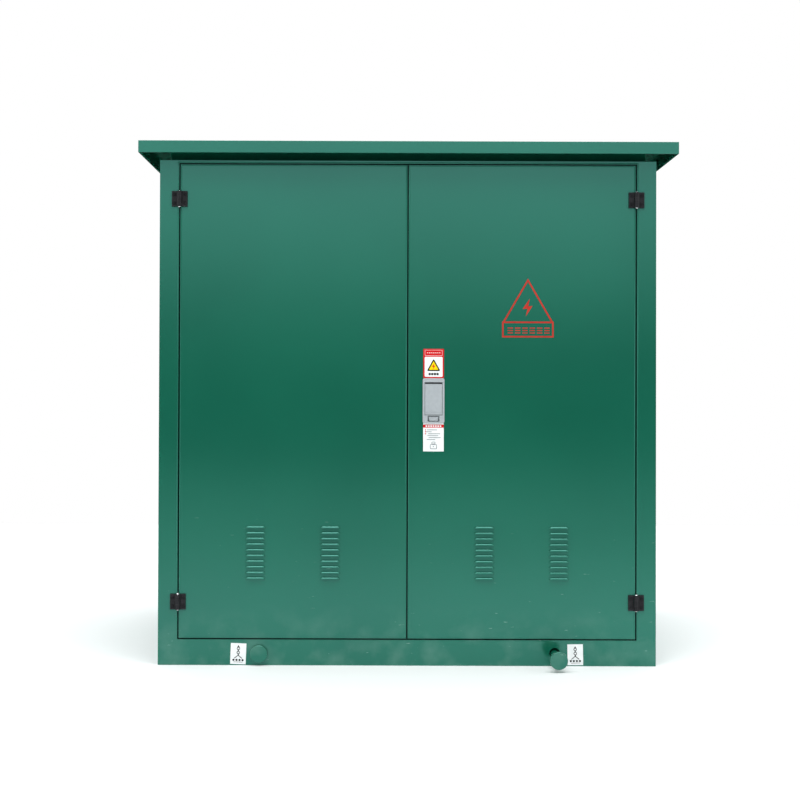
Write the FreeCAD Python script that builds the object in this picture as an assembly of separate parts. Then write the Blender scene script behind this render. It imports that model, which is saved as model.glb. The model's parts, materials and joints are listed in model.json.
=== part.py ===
import FreeCAD, Part
import math
import os

# Kiosk-type pad-mounted transformer. Millimetres, +Z up, doors face -Y.
# Origin: centre of the base frame's underside, on the concrete pad.

# Driving dimensions
width = 1280.0
depth = 1000.0
sheet = 2.0
plinth_height = 66.0
plinth_steel = 3.0
plinth_flange = 50.0
body_top = 1299.0
stile_width = 49.75
header_height = 7.0
door_gap = 3.5
door_depth = 22.0
landing = 22.0
seal_thickness = 7.0
seal_clearance = 0.5
canopy_overhang = 48.5
canopy_bottom = 1311.5
canopy_top = 1342.0
canopy_rise = 8.0
canopy_hem = 6.0
neck_inset = 25.0
louvre_length = 50.0
louvre_pitch = 14.55
louvre_count = 10
louvre_proud = 6.0
louvre_first_z = 217.0
louvre_offset = 96.0
hinge_size = 40.0
hinge_z = (163.0, 1199.0)
lock_width = 56.0
lock_height = 116.0
lock_x = 67.0
lock_z = 681.0
pin_x = 380.0
pin_shaft = 21.0
pin_head = 45.0
pin_travel = 80.0
pin_hole = 27.0
tank_width = 680.0
tank_depth = 420.0
tank_height = 640.0
tank_front_y = -200.0

# Worked out from the driving dimensions
half_w = width / 2
half_d = depth / 2
front_y = -half_d
opening_x = half_w - stile_width
opening_top = body_top - header_height
door_bottom = plinth_height + door_gap
door_top = opening_top - door_gap
door_outer_x = opening_x - door_gap
door_inner_x = door_gap / 2
door_mid_x = (door_outer_x + door_inner_x) / 2
door_back_y = front_y + door_depth
landing_y = door_back_y + seal_thickness + seal_clearance
bulkhead_y = tank_front_y - 15.0
tank_bottom = plinth_height + 9.0
tank_top = tank_bottom + tank_height
tank_back_y = tank_front_y + tank_depth

X = FreeCAD.Vector(1, 0, 0)
Y = FreeCAD.Vector(0, 1, 0)
Z = FreeCAD.Vector(0, 0, 1)


def vec(x, y, z):
    return FreeCAD.Vector(x, y, z)


def block(x0, x1, y0, y1, z0, z1):
    return Part.makeBox(x1 - x0, y1 - y0, z1 - z0, vec(x0, y0, z0))


def rod(x, y, z, axis, radius, length):
    return Part.makeCylinder(radius, length, vec(x, y, z), axis)


def tube(x, y, z, axis, outer, inner, length):
    return rod(x, y, z, axis, outer, length).cut(rod(x, y, z, axis, inner, length))


def cone(x, y, z, axis, radius_0, radius_1, length):
    return Part.makeCone(radius_0, radius_1, length, vec(x, y, z), axis)


def ring(x_half, y_half, inset, z0, z1):
    outer = block(-x_half, x_half, -y_half, y_half, z0, z1)
    x_in = x_half - inset
    y_in = y_half - inset
    return outer.cut(block(-x_in, x_in, -y_in, y_in, z0, z1))


def frame_plate(x0, x1, z0, z1, border, y0, y1):
    hole = block(x0 + border, x1 - border, y0, y1, z0 + border, z1 - border)
    return block(x0, x1, y0, y1, z0, z1).cut(hole)


def hexagon(x, y, z, axis, across_flats, height):
    """A hexagonal prism standing on the point (x, y, z) along axis."""
    radius = across_flats / math.sqrt(3)
    points = [vec(radius * math.cos(math.radians(60 * n)), radius * math.sin(math.radians(60 * n)), 0)
              for n in range(7)]
    prism = Part.Face(Part.makePolygon(points)).extrude(vec(0, 0, height))
    prism.Placement = FreeCAD.Placement(vec(x, y, z), FreeCAD.Rotation(Z, axis))
    return prism


def join(shapes):
    first = shapes[0]
    if len(shapes) == 1:
        return first
    return first.multiFuse(shapes[1:]).removeSplitter()


def cut_all(shape, tools):
    return shape.cut(Part.makeCompound(tools))


def mirror_x(shape):
    return shape.mirror(vec(0, 0, 0), X)


def turned_half(shape):
    """The same shape turned half a turn about the vertical axis through the origin."""
    return shape.rotated(vec(0, 0, 0), Z, 180)


def save(name, shapes):
    if not isinstance(shapes, (list, tuple)):
        shapes = [shapes]
    shape = shapes[0] if len(shapes) == 1 else Part.makeCompound(list(shapes))
    if not shape.isValid():
        raise RuntimeError("invalid shape: " + name)
    shape.exportStep("parts/" + name + ".step")
    print(name, len(shape.Solids), round(shape.Volume / 1000.0, 1))


# Base frame: a ring of channels, with bores for the lifting pins and holes for the pad anchors
anchor_x = 610.0
anchor_y = 470.0
anchor_radius = 7.0
pin_z = 33.0


def base_frame():
    web = ring(half_w, half_d, plinth_steel, 0, plinth_height)
    foot = ring(half_w, half_d, plinth_flange, 0, plinth_steel)
    top = ring(half_w, half_d, plinth_flange, plinth_height - plinth_steel, plinth_height)
    anchors = [rod(sx * anchor_x, sy * anchor_y, 0, Z, anchor_radius, plinth_steel)
               for sx in (-1, 1) for sy in (-1, 1)]
    bores = [rod(sx * pin_x, front_y, pin_z, Y, pin_hole / 2, depth) for sx in (-1, 1)]
    return cut_all(join([web, foot, top]), anchors + bores)


tube_wall = 4.0
tube_inner_y = front_y + 96.0


def lifting_pin_tubes():
    length = tube_inner_y - front_y - plinth_steel
    front = [tube(sx * pin_x, front_y + plinth_steel, pin_z, Y, pin_hole / 2 + tube_wall, pin_hole / 2, length)
             for sx in (-1, 1)]
    return front + [turned_half(t) for t in front]


rail_x = 300.0
rail_width = 50.0


def tank_rails():
    """Channels from the front rail to the rear rail that carry the tank."""
    y_end = half_d - plinth_steel
    rails = []
    for sx in (-1, 1):
        x0 = sx * rail_x - rail_width / 2
        x1 = x0 + rail_width
        outer = block(x0, x1, -y_end, y_end, plinth_steel, plinth_height - plinth_steel)
        hollow = block(x0 + 4, x1 - 4, -y_end, y_end, plinth_steel, plinth_height - plinth_steel - 4)
        rails.append(outer.cut(hollow))
    return rails


# Cable entries in the compartment floors
hv_cable_x = (-250.0, -180.0, -110.0)
lv_cable_x = (70.0, 130.0, 190.0, 250.0)
cable_y = -330.0
grommet_bore = 21.0
grommet_radius = 29.0
gland_thickness = 3.0


def gland_plate(x0, x1, cable_x):
    """A floor plate that closes one compartment under the base frame's top flange."""
    top = plinth_height - plinth_steel
    plate = block(x0, x1, front_y + plinth_steel + 2, bulkhead_y, top, top + gland_thickness)
    lip = ring(half_w, half_d, plinth_flange + 0.5, top, top + gland_thickness)
    holes = [rod(x, cable_y, top, Z, grommet_radius - 4, gland_thickness) for x in cable_x]
    return cut_all(plate, [lip] + holes)


def cable_grommets():
    """Rubber grommets that grip the plate's edge with a flange on its upper side."""
    top = plinth_height - plinth_steel
    grommets = []
    for x in hv_cable_x + lv_cable_x:
        sleeve = tube(x, cable_y, top, Z, grommet_radius - 4, grommet_bore, gland_thickness)
        collar = tube(x, cable_y, top + gland_thickness, Z, grommet_radius, grommet_bore, 8)
        grommets.append(join([sleeve, collar]))
    return grommets


# Fixed shell
def front_frame():
    """Stiles and header, their returns into the opening and the landing that the door seals meet."""
    face = block(-half_w, half_w, front_y, front_y + sheet, plinth_height, body_top)
    opening = block(-opening_x, opening_x, front_y, front_y + sheet, plinth_height, opening_top)
    back = landing_y + sheet
    returns = block(-opening_x - sheet, opening_x + sheet, front_y, back, plinth_height, opening_top + sheet)
    inside = block(-opening_x, opening_x, front_y, back, plinth_height, opening_top)
    stop = frame_plate(-opening_x, opening_x, plinth_height, opening_top, landing, landing_y, back)
    return join([face.cut(opening), returns.cut(inside), stop])


def centre_post():
    """Hollow post behind the doors' meeting edge; its face stands level with the landing."""
    back = landing_y + 32
    z0 = plinth_height + landing
    z1 = opening_top - landing
    outer = block(-25, 25, landing_y, back, z0, z1)
    feet = [block(-25, 25, landing_y + sheet, back, plinth_height, z0),
            block(-25, 25, landing_y + sheet, back, z1, opening_top)]
    return join([outer] + feet).cut(block(-23, 23, landing_y + sheet + 2, back - 2, plinth_height, opening_top))


def louvre_hood():
    """One pressed hood: a quarter capsule, closed on top and open below, with rounded ends."""
    def capsule(radius):
        reach = louvre_length / 2 - louvre_proud
        body = rod(-reach, front_y, 0, X, radius, 2 * reach)
        ends = [Part.makeSphere(radius, vec(sx * reach, front_y, 0)) for sx in (-1, 1)]
        return body.multiFuse(ends)

    shell = capsule(louvre_proud).cut(capsule(louvre_proud - 1.2))
    keep = block(-louvre_length, louvre_length, front_y - 10, front_y + sheet, 0, 10)
    return shell.common(keep)


def louvre_bank(panel, x_centres, count=louvre_count, z_first=louvre_first_z):
    """The panel, with one column of slots and hoods on each of the given centres."""
    hood = louvre_hood()
    reach = louvre_length / 2 - louvre_proud
    hoods = []
    slots = []
    for x in x_centres:
        for n in range(count):
            z = z_first + louvre_pitch * (n + 0.5)
            hoods.append(hood.translated(vec(x, 0, z - louvre_proud / 2)))
            z0 = z - louvre_proud / 2
            slots.append(block(x - reach, x + reach, front_y, front_y + sheet, z0, z0 + louvre_proud - 1.5))
    return cut_all(panel, slots).multiFuse(hoods)


def side_panel():
    """Left wall, with low air inlets; it stands behind the stile and in front of the rear panel."""
    reach = half_d - sheet
    flat = block(-reach, reach, front_y, front_y + sheet, plinth_height, body_top)
    flat = louvre_bank(flat, (-250.0, 0.0, 250.0))
    turned = flat.rotated(vec(0, 0, 0), Z, -90)
    return turned.translated(vec(-(half_w - half_d), 0, 0))


def rear_panel():
    """Rear wall, with low inlets and high outlets; the bolts hold it to the rear posts."""
    flat = block(-half_w, half_w, front_y, front_y + sheet, plinth_height, body_top)
    centres = (-390.0, -130.0, 130.0, 390.0)
    flat = louvre_bank(flat, centres)
    flat = louvre_bank(flat, centres, louvre_count, body_top - 260)
    holes = [rod(x, front_y, z, Y, 4.2, sheet) for x, z in rear_bolt_places()]
    return turned_half(cut_all(flat, holes))


def rear_bolt_places():
    rows = (120.0, 400.0, 680.0, 960.0, 1240.0)
    return [(sx * (half_w - 22), z) for sx in (-1, 1) for z in rows]


def corner_posts():
    """Angle posts in the four inner corners; the rear pair has the panel bolts' holes."""
    z0 = plinth_height
    z1 = body_top - sheet
    y_front = landing_y + sheet
    posts = []
    for sx in (-1, 1):
        x_wall = half_w - sheet
        leg = block(x_wall - 40, x_wall, half_d - sheet - 3, half_d - sheet, z0, z1)
        side = block(x_wall - 3, x_wall, half_d - sheet - 40, half_d - sheet, z0, z1)
        rear = join([leg, side])
        holes = [rod(half_w - 22, half_d - 10, z, Y, 4.2, 10) for x, z in rear_bolt_places() if x > 0]
        rear = cut_all(rear, holes)
        front = block(x_wall - 3, x_wall, y_front, y_front + 40, z0, z1)
        for post in (rear, front):
            posts.append(post if sx > 0 else mirror_x(post))
    return posts


def panel_bolts():
    """Hexagon bolts with nuts on the inner side of the rear posts."""
    bolts = []
    for x, z in rear_bolt_places():
        head = hexagon(-x, half_d, z, Y, 13, 5.5)
        shank = rod(-x, half_d - 12, z, Y, 4.0, 12.5)
        nut = hexagon(-x, half_d - sheet - 3 - 6.5, z, Y, 13, 6.5)
        bolts.append(join([head, shank, nut]))
    return bolts


def roof_neck():
    """Recessed band: a ledge on the walls, an upright slotted at the back and sides, a roof flange."""
    ledge = ring(half_w - sheet, half_d - sheet, 45, body_top - sheet, body_top)
    x_half = half_w - neck_inset
    y_half = half_d - neck_inset
    under_roof = canopy_top - sheet
    upright = ring(x_half, y_half, sheet, body_top - sheet, under_roof)
    flange = ring(x_half + 20, y_half + 20, 22, under_roof - sheet, under_roof)
    neck = join([ledge, upright, flange])
    slots = []
    slot_bottom = body_top + 15
    for n in range(-6, 7):
        x = n * 90.0
        slots.append(block(x - 35, x + 35, 0, half_d, slot_bottom, slot_bottom + 12))
        if abs(n) < 5:
            slots.append(block(-half_w, half_w, x - 35, x + 35, slot_bottom, slot_bottom + 12))
    studs = [rod(x, y, under_roof - 5, Z, 4.2, 10) for x, y in roof_stud_places()]
    return cut_all(neck, slots + studs)


def roof_stud_places():
    x = half_w - neck_inset + 10
    y = half_d - neck_inset + 10
    return [(sx * a, sy * b) for sx in (-1, 1) for sy in (-1, 1) for a, b in ((x, 300.0), (400.0, y))]


def roof_fasteners():
    """Studs welded under the roof, each with a nut below the neck's flange."""
    under_roof = canopy_top - sheet
    fasteners = []
    for x, y in roof_stud_places():
        stud = rod(x, y, under_roof - 16, Z, 4.0, 16)
        nut = hexagon(x, y, under_roof - sheet - 6.5, Z, 13, 6.5)
        fasteners.append(join([stud, nut]))
    return fasteners


def pyramid(x_half, y_half, z, rise):
    """A low four-sided pyramid, the cross-broken middle of the roof."""
    corners = [vec(sx * x_half, sy * y_half, z) for sx, sy in ((-1, -1), (1, -1), (1, 1), (-1, 1))]
    top = vec(0, 0, z + rise)
    faces = [Part.Face(Part.makePolygon(corners + corners[:1]))]
    for n in range(4):
        a, b = corners[n], corners[(n + 1) % 4]
        faces.append(Part.Face(Part.makePolygon([a, b, top, a])))
    return Part.makeSolid(Part.makeShell(faces))


def canopy_roof():
    """Roof tray: top sheet, turned-down fascia and an inward hem."""
    x_half = half_w + canopy_overhang
    y_half = half_d + canopy_overhang
    flat = block(-x_half, x_half, -y_half, y_half, canopy_top - sheet, canopy_top)
    rim = 90.0
    outside = pyramid(x_half - rim, y_half - rim, canopy_top, canopy_rise)
    inside = pyramid(x_half - rim, y_half - rim, canopy_top - sheet, canopy_rise)
    fascia = ring(x_half, y_half, sheet, canopy_bottom, canopy_top)
    hem = ring(x_half, y_half, canopy_hem, canopy_bottom, canopy_bottom + sheet)
    return join([flat, outside, fascia, hem]).cut(inside)


def bulkhead():
    """Wall between the cable compartments and the transformer, cut out round the tank's face."""
    x_half = half_w - sheet
    plate = block(-x_half, x_half, bulkhead_y, bulkhead_y + sheet, plinth_height, body_top - sheet)
    x_cut = tank_width / 2 + 40
    return plate.cut(block(-x_cut, x_cut, bulkhead_y, bulkhead_y + sheet, plinth_height + 6, tank_top + 30))


def compartment_barrier():
    """Insulating sheet between the high- and low-voltage compartments."""
    y0 = landing_y + 32
    z_split = tank_top + 40
    lower = block(-2, 2, y0, tank_front_y - 34, plinth_height + 4, z_split)
    return join([lower, block(-2, 2, y0, bulkhead_y, z_split, opening_top - landing)])




# Doors. The right door is modelled and mirrored, then each gets its own fittings.
def door_pan():
    """Skin with returned edges, a rear lip for the seal and two louvre banks."""
    skin = block(door_inner_x, door_outer_x, front_y, front_y + sheet, door_bottom, door_top)
    skin = louvre_bank(skin, (door_mid_x - louvre_offset, door_mid_x + louvre_offset))
    edges = frame_plate(door_inner_x, door_outer_x, door_bottom, door_top, sheet, front_y, door_back_y)
    lip = frame_plate(door_inner_x, door_outer_x, door_bottom, door_top, 18, door_back_y - sheet, door_back_y)
    return skin.multiFuse([edges, lip])


def door_seal():
    inset = 3.0
    return frame_plate(door_inner_x + inset, door_outer_x - inset, door_bottom + inset, door_top - inset,
                       10, door_back_y, door_back_y + seal_thickness)


stiffener_z = (430.0, 900.0, 1130.0)


def door_stiffeners():
    """Hat sections across the inside of the skin, clear of the louvres and the lock."""
    x0 = door_inner_x + sheet + 2
    x1 = door_outer_x - sheet - 2
    y0 = front_y + sheet
    y1 = door_back_y - sheet
    hats = []
    for z in stiffener_z:
        outer = block(x0, x1, y0, y1, z - 15, z + 15)
        hollow = block(x0, x1, y0, y1 - 1.5, z - 13.5, z + 13.5)
        flanges = [block(x0, x1, y0, y0 + 1.5, z - 27, z - 15), block(x0, x1, y0, y0 + 1.5, z + 15, z + 27)]
        hats.append(join([outer.cut(hollow)] + flanges))
    return hats


# Hinges: square leaves screwed on the face, knuckles in front of the gap
hinge_x = (door_outer_x + opening_x) / 2
knuckle = 6.5
hinge_pin = 3.0
hinge_play = 0.05
hinge_y = front_y - knuckle
leaf_thickness = 5.0
knuckle_gap = 0.3
knuckle_third = hinge_size / 3


def hinge_leaf(z_centre, on_door):
    """Right-hand hinge: the frame leaf has the middle knuckle and the door leaf the outer two."""
    side = -1 if on_door else 1
    z0 = z_centre - hinge_size / 2
    z1 = z_centre + hinge_size / 2
    zones = [(z0, z0 + knuckle_third - knuckle_gap), (z0 + knuckle_third, z1 - knuckle_third),
             (z1 - knuckle_third + knuckle_gap, z1)]
    own = (zones[0], zones[2]) if on_door else (zones[1],)
    x_far = hinge_x + side * hinge_size / 2
    x_near = hinge_x + side * (knuckle + 0.5)
    plate = block(min(x_far, x_near), max(x_far, x_near), front_y - leaf_thickness, front_y, z0, z1)
    shapes = [plate]
    for a, b in own:
        shapes.append(rod(hinge_x, hinge_y, a, Z, knuckle, b - a))
        web = (hinge_x, x_near) if side > 0 else (x_near, hinge_x)
        shapes.append(block(web[0], web[1], front_y - leaf_thickness, front_y - 0.4, a, b))
    leaf = join(shapes)
    leaf = leaf.cut(rod(hinge_x, hinge_y, z0, Z, hinge_pin + hinge_play, hinge_size))
    x_screw = (x_far + x_near) / 2
    sinks = [cone(x_screw, front_y - leaf_thickness, z_centre + dz, Y, 4.4, 2.0, leaf_thickness)
             for dz in (-11, 11)]
    return cut_all(leaf, sinks)


def hinge_pin_rod(z_centre):
    length = hinge_size + 2.4
    pin = rod(hinge_x, hinge_y, z_centre - length / 2, Z, hinge_pin, length)
    heads = [cone(hinge_x, hinge_y, z_centre + s * (hinge_size / 2 + 0.2), Z if s > 0 else -Z,
                  4.2, 3.2, 1.6) for s in (-1, 1)]
    return join([pin] + heads)


# Flush lock in the right door
lock_front_y = front_y - 3.0
lock_back_y = front_y + 32.0
recess_back_y = front_y + 22.0
flap_pivot_y = front_y + 4.0
flap_pivot_z = lock_z + 39.0
flap_top = flap_pivot_z + 4.0
flap_bottom = lock_z - 36.0
flap_width = 44.0
tray_top = lock_z - 39.0
tray_bottom = lock_z - 54.0
button_z = (tray_top + tray_bottom) / 2
rod_front_y = lock_back_y + 3.5
rod_back_y = rod_front_y + 5.0


def door_lock_cutout():
    return block(lock_x - 25, lock_x + 25, front_y, front_y + sheet, lock_z - 55, lock_z + 55)


def lock_housing():
    """Flanged box with a recess for the flap, a tray for the button and a rear bearing."""
    half = lock_width / 2
    flange = block(lock_x - half, lock_x + half, lock_front_y, front_y, lock_z - lock_height / 2,
                   lock_z + lock_height / 2)
    corners = [e for e in flange.Edges if e.Length < 4 and abs(e.tangentAt(0).y) > 0.9]
    flange = flange.makeFillet(5.0, corners)
    body = block(lock_x - 25, lock_x + 25, front_y, lock_back_y, lock_z - 55, lock_z + 55)
    recess = block(lock_x - 23, lock_x + 23, lock_front_y, recess_back_y, flap_bottom - 1.5, flap_pivot_z + 8.5)
    tray = block(lock_x - 15, lock_x + 15, lock_front_y, front_y + 6.5, tray_bottom, tray_top)
    stem = rod(lock_x, front_y, button_z, Y, 3.05, 22)
    pivot = rod(lock_x - 25, flap_pivot_y, flap_pivot_z, X, 2.05, 50)
    bearing = rod(lock_x, lock_back_y - 6, lock_z, Y, 4.05, 6)
    return cut_all(join([flange, body]), [recess, tray, stem, pivot, bearing])


def lock_flap_pin():
    return rod(lock_x - 24.5, flap_pivot_y, flap_pivot_z, X, 2.0, 49)


def lock_flap():
    """Paddle with a hub on the cross pin, a finger lip and a raised grip band near its free end."""
    half = flap_width / 2
    plate = block(lock_x - half, lock_x + half, front_y - 2.5, front_y + 2, flap_bottom, flap_top)
    hub = rod(lock_x - half, flap_pivot_y, flap_pivot_z, X, 4.0, flap_width)
    lip = block(lock_x - half, lock_x + half, front_y + 2, front_y + 9, flap_bottom, flap_bottom + 3)
    band = block(lock_x - 20, lock_x + 20, front_y - 3.5, front_y - 2.5, flap_bottom + 7, flap_bottom + 17)
    ribs = [block(lock_x + sx * 20 - 1, lock_x + sx * 20 + 1, front_y + 2, front_y + 7, flap_bottom + 3,
                  flap_pivot_z - 8) for sx in (-1, 1)]
    flap = join([plate, hub, lip, band] + ribs)
    return flap.cut(rod(lock_x - half, flap_pivot_y, flap_pivot_z, X, 2.05, flap_width))


def lock_button():
    """Release button: a trapezoid cap on a round stem."""
    top, bottom = button_z + 5.5, button_z - 5.5
    outline = [vec(lock_x - 11, front_y - 1, bottom), vec(lock_x + 11, front_y - 1, bottom),
               vec(lock_x + 13, front_y - 1, top), vec(lock_x - 13, front_y - 1, top)]
    cap = Part.Face(Part.makePolygon(outline + outline[:1])).extrude(vec(0, 4, 0))
    return join([cap, rod(lock_x, front_y + 3, button_z, Y, 3.0, 14)])


# Rack-and-pinion rod drive behind the lock
gear_module = 2.0
gear_teeth = 10
gear_radius = gear_module * gear_teeth / 2
tooth_pitch = math.pi * gear_module
tooth_half = 1.05
tooth_reach = 1.6
tooth_root = 2.0


def tooth_outline(height_root, height_tip):
    """Half widths of a straight-flanked tooth at its root and its tip."""
    slope = math.tan(math.radians(20))
    return tooth_half + height_root * slope, tooth_half - height_tip * slope


def lock_pinion():
    root_half, tip_half = tooth_outline(tooth_root, tooth_reach)
    y = rod_front_y
    shapes = [rod(lock_x, y, lock_z, Y, gear_radius - tooth_root, rod_back_y - y)]
    outline = [vec(6, y, -root_half), vec(gear_radius - tooth_root, y, -root_half),
               vec(gear_radius + tooth_reach, y, -tip_half), vec(gear_radius + tooth_reach, y, tip_half),
               vec(gear_radius - tooth_root, y, root_half), vec(6, y, root_half)]
    tooth = Part.Face(Part.makePolygon(outline + outline[:1])).extrude(vec(0, rod_back_y - y, 0))
    for n in range(gear_teeth):
        turned = tooth.rotated(vec(0, 0, 0), Y, 360.0 * n / gear_teeth)
        shapes.append(turned.translated(vec(lock_x, 0, lock_z)))
    shapes.append(rod(lock_x, lock_back_y - 5.5, lock_z, Y, 4.0, rod_front_y - lock_back_y + 5.5))
    return join(shapes)


def rack(side):
    """Toothed end of a rod, on the given side of the pinion, centred on the pinion's height."""
    root_half, tip_half = tooth_outline(tooth_root, tooth_reach)
    x_pitch = lock_x + side * gear_radius
    x_root = x_pitch + side * tooth_root
    x_tip = x_pitch - side * tooth_reach
    x_back = x_root + side * 10
    y = rod_front_y
    bar = block(min(x_root, x_back), max(x_root, x_back), y, rod_back_y, lock_z - 30, lock_z + 30)
    teeth = [bar]
    for n in range(-4, 4):
        z = lock_z + tooth_pitch * (n + 0.5)
        outline = [vec(x_back, y, z - root_half), vec(x_root, y, z - root_half), vec(x_tip, y, z - tip_half),
                   vec(x_tip, y, z + tip_half), vec(x_root, y, z + root_half), vec(x_back, y, z + root_half)]
        teeth.append(Part.Face(Part.makePolygon(outline + outline[:1])).extrude(vec(0, rod_back_y - y, 0)))
    return join(teeth), min(x_root, x_back)


rod_end_gap = 2.0
rod_width = 10.0


def lock_rod(side):
    """The rod with the left-hand rack reaches up to the header; the other reaches down to the sill."""
    toothed, x0 = rack(side)
    if side < 0:
        z0, z1 = lock_z + 29, opening_top - landing - rod_end_gap
    else:
        z0, z1 = plinth_height + landing + rod_end_gap, lock_z - 29
    return join([toothed, block(x0, x0 + rod_width, rod_front_y, rod_back_y, z0, z1)])


def rod_guide(x_centre, z, y0, y1, half_x):
    """A bridge standing on the back of a stiffener or the door's lip, with a window for a bar."""
    outer = block(x_centre - half_x - 4, x_centre + half_x + 4, door_back_y - sheet, y1 + 3, z - 8, z + 8)
    window = block(x_centre - half_x - 0.3, x_centre + half_x + 0.3, y0 - 0.3, y1 + 0.3, z - 8, z + 8)
    return outer.cut(window)


def lock_rod_guides():
    x_rack = gear_radius + tooth_root + rod_width / 2
    upper = [rod_guide(lock_x - x_rack, z, rod_front_y, rod_back_y, rod_width / 2) for z in stiffener_z[1:]]
    lower = [rod_guide(lock_x + x_rack, stiffener_z[0], rod_front_y, rod_back_y, rod_width / 2)]
    return upper + lower


# Flush bolts on the left door's free edge
bolt_x = -45.0
bolt_y = door_back_y + 16.0
bolt_radius = 5.0
bolt_length = 150.0
bolt_rest_gap = 8.0


def bolt_tip(up):
    if up:
        return opening_top - landing - bolt_rest_gap
    return plinth_height + landing + bolt_rest_gap


def flush_bolt(up):
    """Round bolt with a knob, drawn back clear of the landing."""
    tip = bolt_tip(up)
    z0 = tip - bolt_length if up else tip
    z_knob = z0 + bolt_length / 2
    bar = rod(bolt_x, bolt_y, z0, Z, bolt_radius, bolt_length)
    stalk = rod(bolt_x, bolt_y, z_knob, Y, 4.0, 22)
    cap = rod(bolt_x, bolt_y + 18, z_knob, Y, 7.0, 8)
    return join([bar, stalk, cap])


def flush_bolt_guides():
    """For each bolt, a pad standing off the door's skin with two bored lugs."""
    guides = []
    y0 = door_back_y - sheet
    for up in (True, False):
        away = -1 if up else 1
        tip = bolt_tip(up)
        z0, z1 = sorted((tip, tip + away * bolt_length))
        foot0, foot1 = sorted((tip, tip + away * 20))
        shapes = [block(bolt_x - 12, bolt_x + 12, y0, y0 + 3, z0, z1),
                  block(bolt_x - 12, bolt_x + 12, front_y + sheet, y0, foot0, foot1)]
        for reach in (12, bolt_length - 20):
            z = tip + away * reach
            shapes.append(block(bolt_x - 10, bolt_x + 10, y0, bolt_y + 9, z - 8, z + 8))
        bore = rod(bolt_x, bolt_y, z0 - 5, Z, bolt_radius + 0.08, bolt_length + 10)
        guides.append(join(shapes).cut(bore))
    return guides


# Lifting pins
pin_play = 0.3
pin_axis_z = pin_z - (pin_hole / 2 - pin_shaft / 2 - pin_play)
pin_length = 185.0
pin_collar = 32.0


def lifting_pin(x, drawn_out):
    """Round-headed pin lying low in its tube; a collar at its inner end stops it coming out."""
    y = front_y - 0.5 - drawn_out
    head = rod(x, y - 12, pin_axis_z, Y, pin_head / 2, 12)
    head = head.makeFillet(2.5, [e for e in head.Edges if e.Length > 50 and e.BoundBox.YMin < y - 11.9])
    shaft = rod(x, y, pin_axis_z, Y, pin_shaft / 2, pin_length)
    collar = rod(x, y + pin_length - 8, pin_axis_z, Y, pin_collar / 2, 8)
    return join([head, shaft, collar])


# Transformer
tank_wall = 4.0
tank_flange = 30.0
tank_flange_thickness = 8.0
gasket = 4.0
cover_thickness = 8.0
bushing_z = 560.0
hv_bushing_radius = 34.0
switch_x, switch_z = -180.0, 400.0
tap_x, tap_z = 60.0, 420.0
drain_x, drain_z = 280.0, 130.0
boss_radius = 26.0
boss_length = 20.0
boss_bore = 8.05


def tank_plan(margin, z0, z1):
    x = tank_width / 2 + margin
    return block(-x, x, tank_front_y - margin, tank_back_y + margin, z0, z1)


def transformer_tank():
    """Open-topped welded tank with its skids, its rim flange, and bosses for what passes through its face."""
    shell = tank_plan(0, tank_bottom, tank_top)
    rim = tank_plan(tank_flange, tank_top - tank_flange_thickness, tank_top)
    hollow = tank_plan(-tank_wall, tank_bottom + tank_wall, tank_top)
    skids = [block(sx * rail_x - 30, sx * rail_x + 30, tank_front_y + 20, tank_back_y - 20,
                   plinth_height - plinth_steel, tank_bottom) for sx in (-1, 1)]
    bosses = []
    bores = []
    for x, z in ((switch_x, switch_z), (tap_x, tap_z)):
        bosses.append(rod(x, tank_front_y - boss_length, z, Y, boss_radius, boss_length))
        bores.append(rod(x, tank_front_y - boss_length, z, Y, boss_bore, boss_length))
    bosses.append(rod(drain_x, tank_front_y - 60, drain_z, Y, 16, 60))
    bosses.append(rod(drain_x, tank_front_y - 72, drain_z, Y, 22, 14))
    bores.append(rod(drain_x, tank_front_y - 36, drain_z, Z, boss_bore, 16))
    bores.append(rod(drain_x, tank_front_y - 72, drain_z, Y, 9, 20))
    bores += [rod(x, y, tank_top - 20, Z, 5.3, 20) for x, y in cover_bolt_places()]
    return cut_all(join([shell, rim] + skids + bosses).cut(hollow), bores)


def cover_bolt_places():
    """Evenly spaced along the middle of the rim flange."""
    x_line = tank_width / 2 + tank_flange / 2
    y0 = tank_front_y - tank_flange / 2
    y1 = tank_back_y + tank_flange / 2
    along = 7
    across = 4
    places = [(-x_line + 2 * x_line * n / along, y) for n in range(along + 1) for y in (y0, y1)]
    places += [(x, y0 + (y1 - y0) * n / across) for n in range(1, across) for x in (-x_line, x_line)]
    return places


def cover_gasket():
    outer = tank_plan(tank_flange, tank_top, tank_top + gasket)
    holes = [rod(x, y, tank_top, Z, 5.3, gasket) for x, y in cover_bolt_places()]
    return cut_all(outer, [tank_plan(0, tank_top, tank_top + gasket)] + holes)


def tank_cover():
    """Flat cover with four lifting eyes."""
    z0 = tank_top + gasket
    z1 = z0 + cover_thickness
    plate = tank_plan(tank_flange, z0, z1)
    eyes = []
    for sx in (-1, 1):
        for y in (tank_front_y + 60, tank_back_y - 60):
            x = sx * 280
            eye = block(x - 6, x + 6, y - 30, y + 30, z1, z1 + 55)
            eyes.append(eye.cut(rod(x - 6, y, z1 + 30, X, 14, 12)))
    holes = [rod(x, y, z0, Z, 5.3, cover_thickness) for x, y in cover_bolt_places()]
    return cut_all(join([plate] + eyes), holes)


def cover_bolts():
    bolts = []
    z_top = tank_top + gasket + cover_thickness
    z_under = tank_top - tank_flange_thickness
    for x, y in cover_bolt_places():
        shank = rod(x, y, z_under - 10, Z, 5.0, z_top - z_under + 10)
        bolts.append(join([hexagon(x, y, z_top, Z, 16, 6.5), shank, hexagon(x, y, z_under - 8, Z, 16, 8)]))
    return bolts


fin_depth = 120.0
fin_thickness = 8.0
fin_pitch = 40.0
fin_bottom = 130.0
fin_top = 650.0


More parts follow.
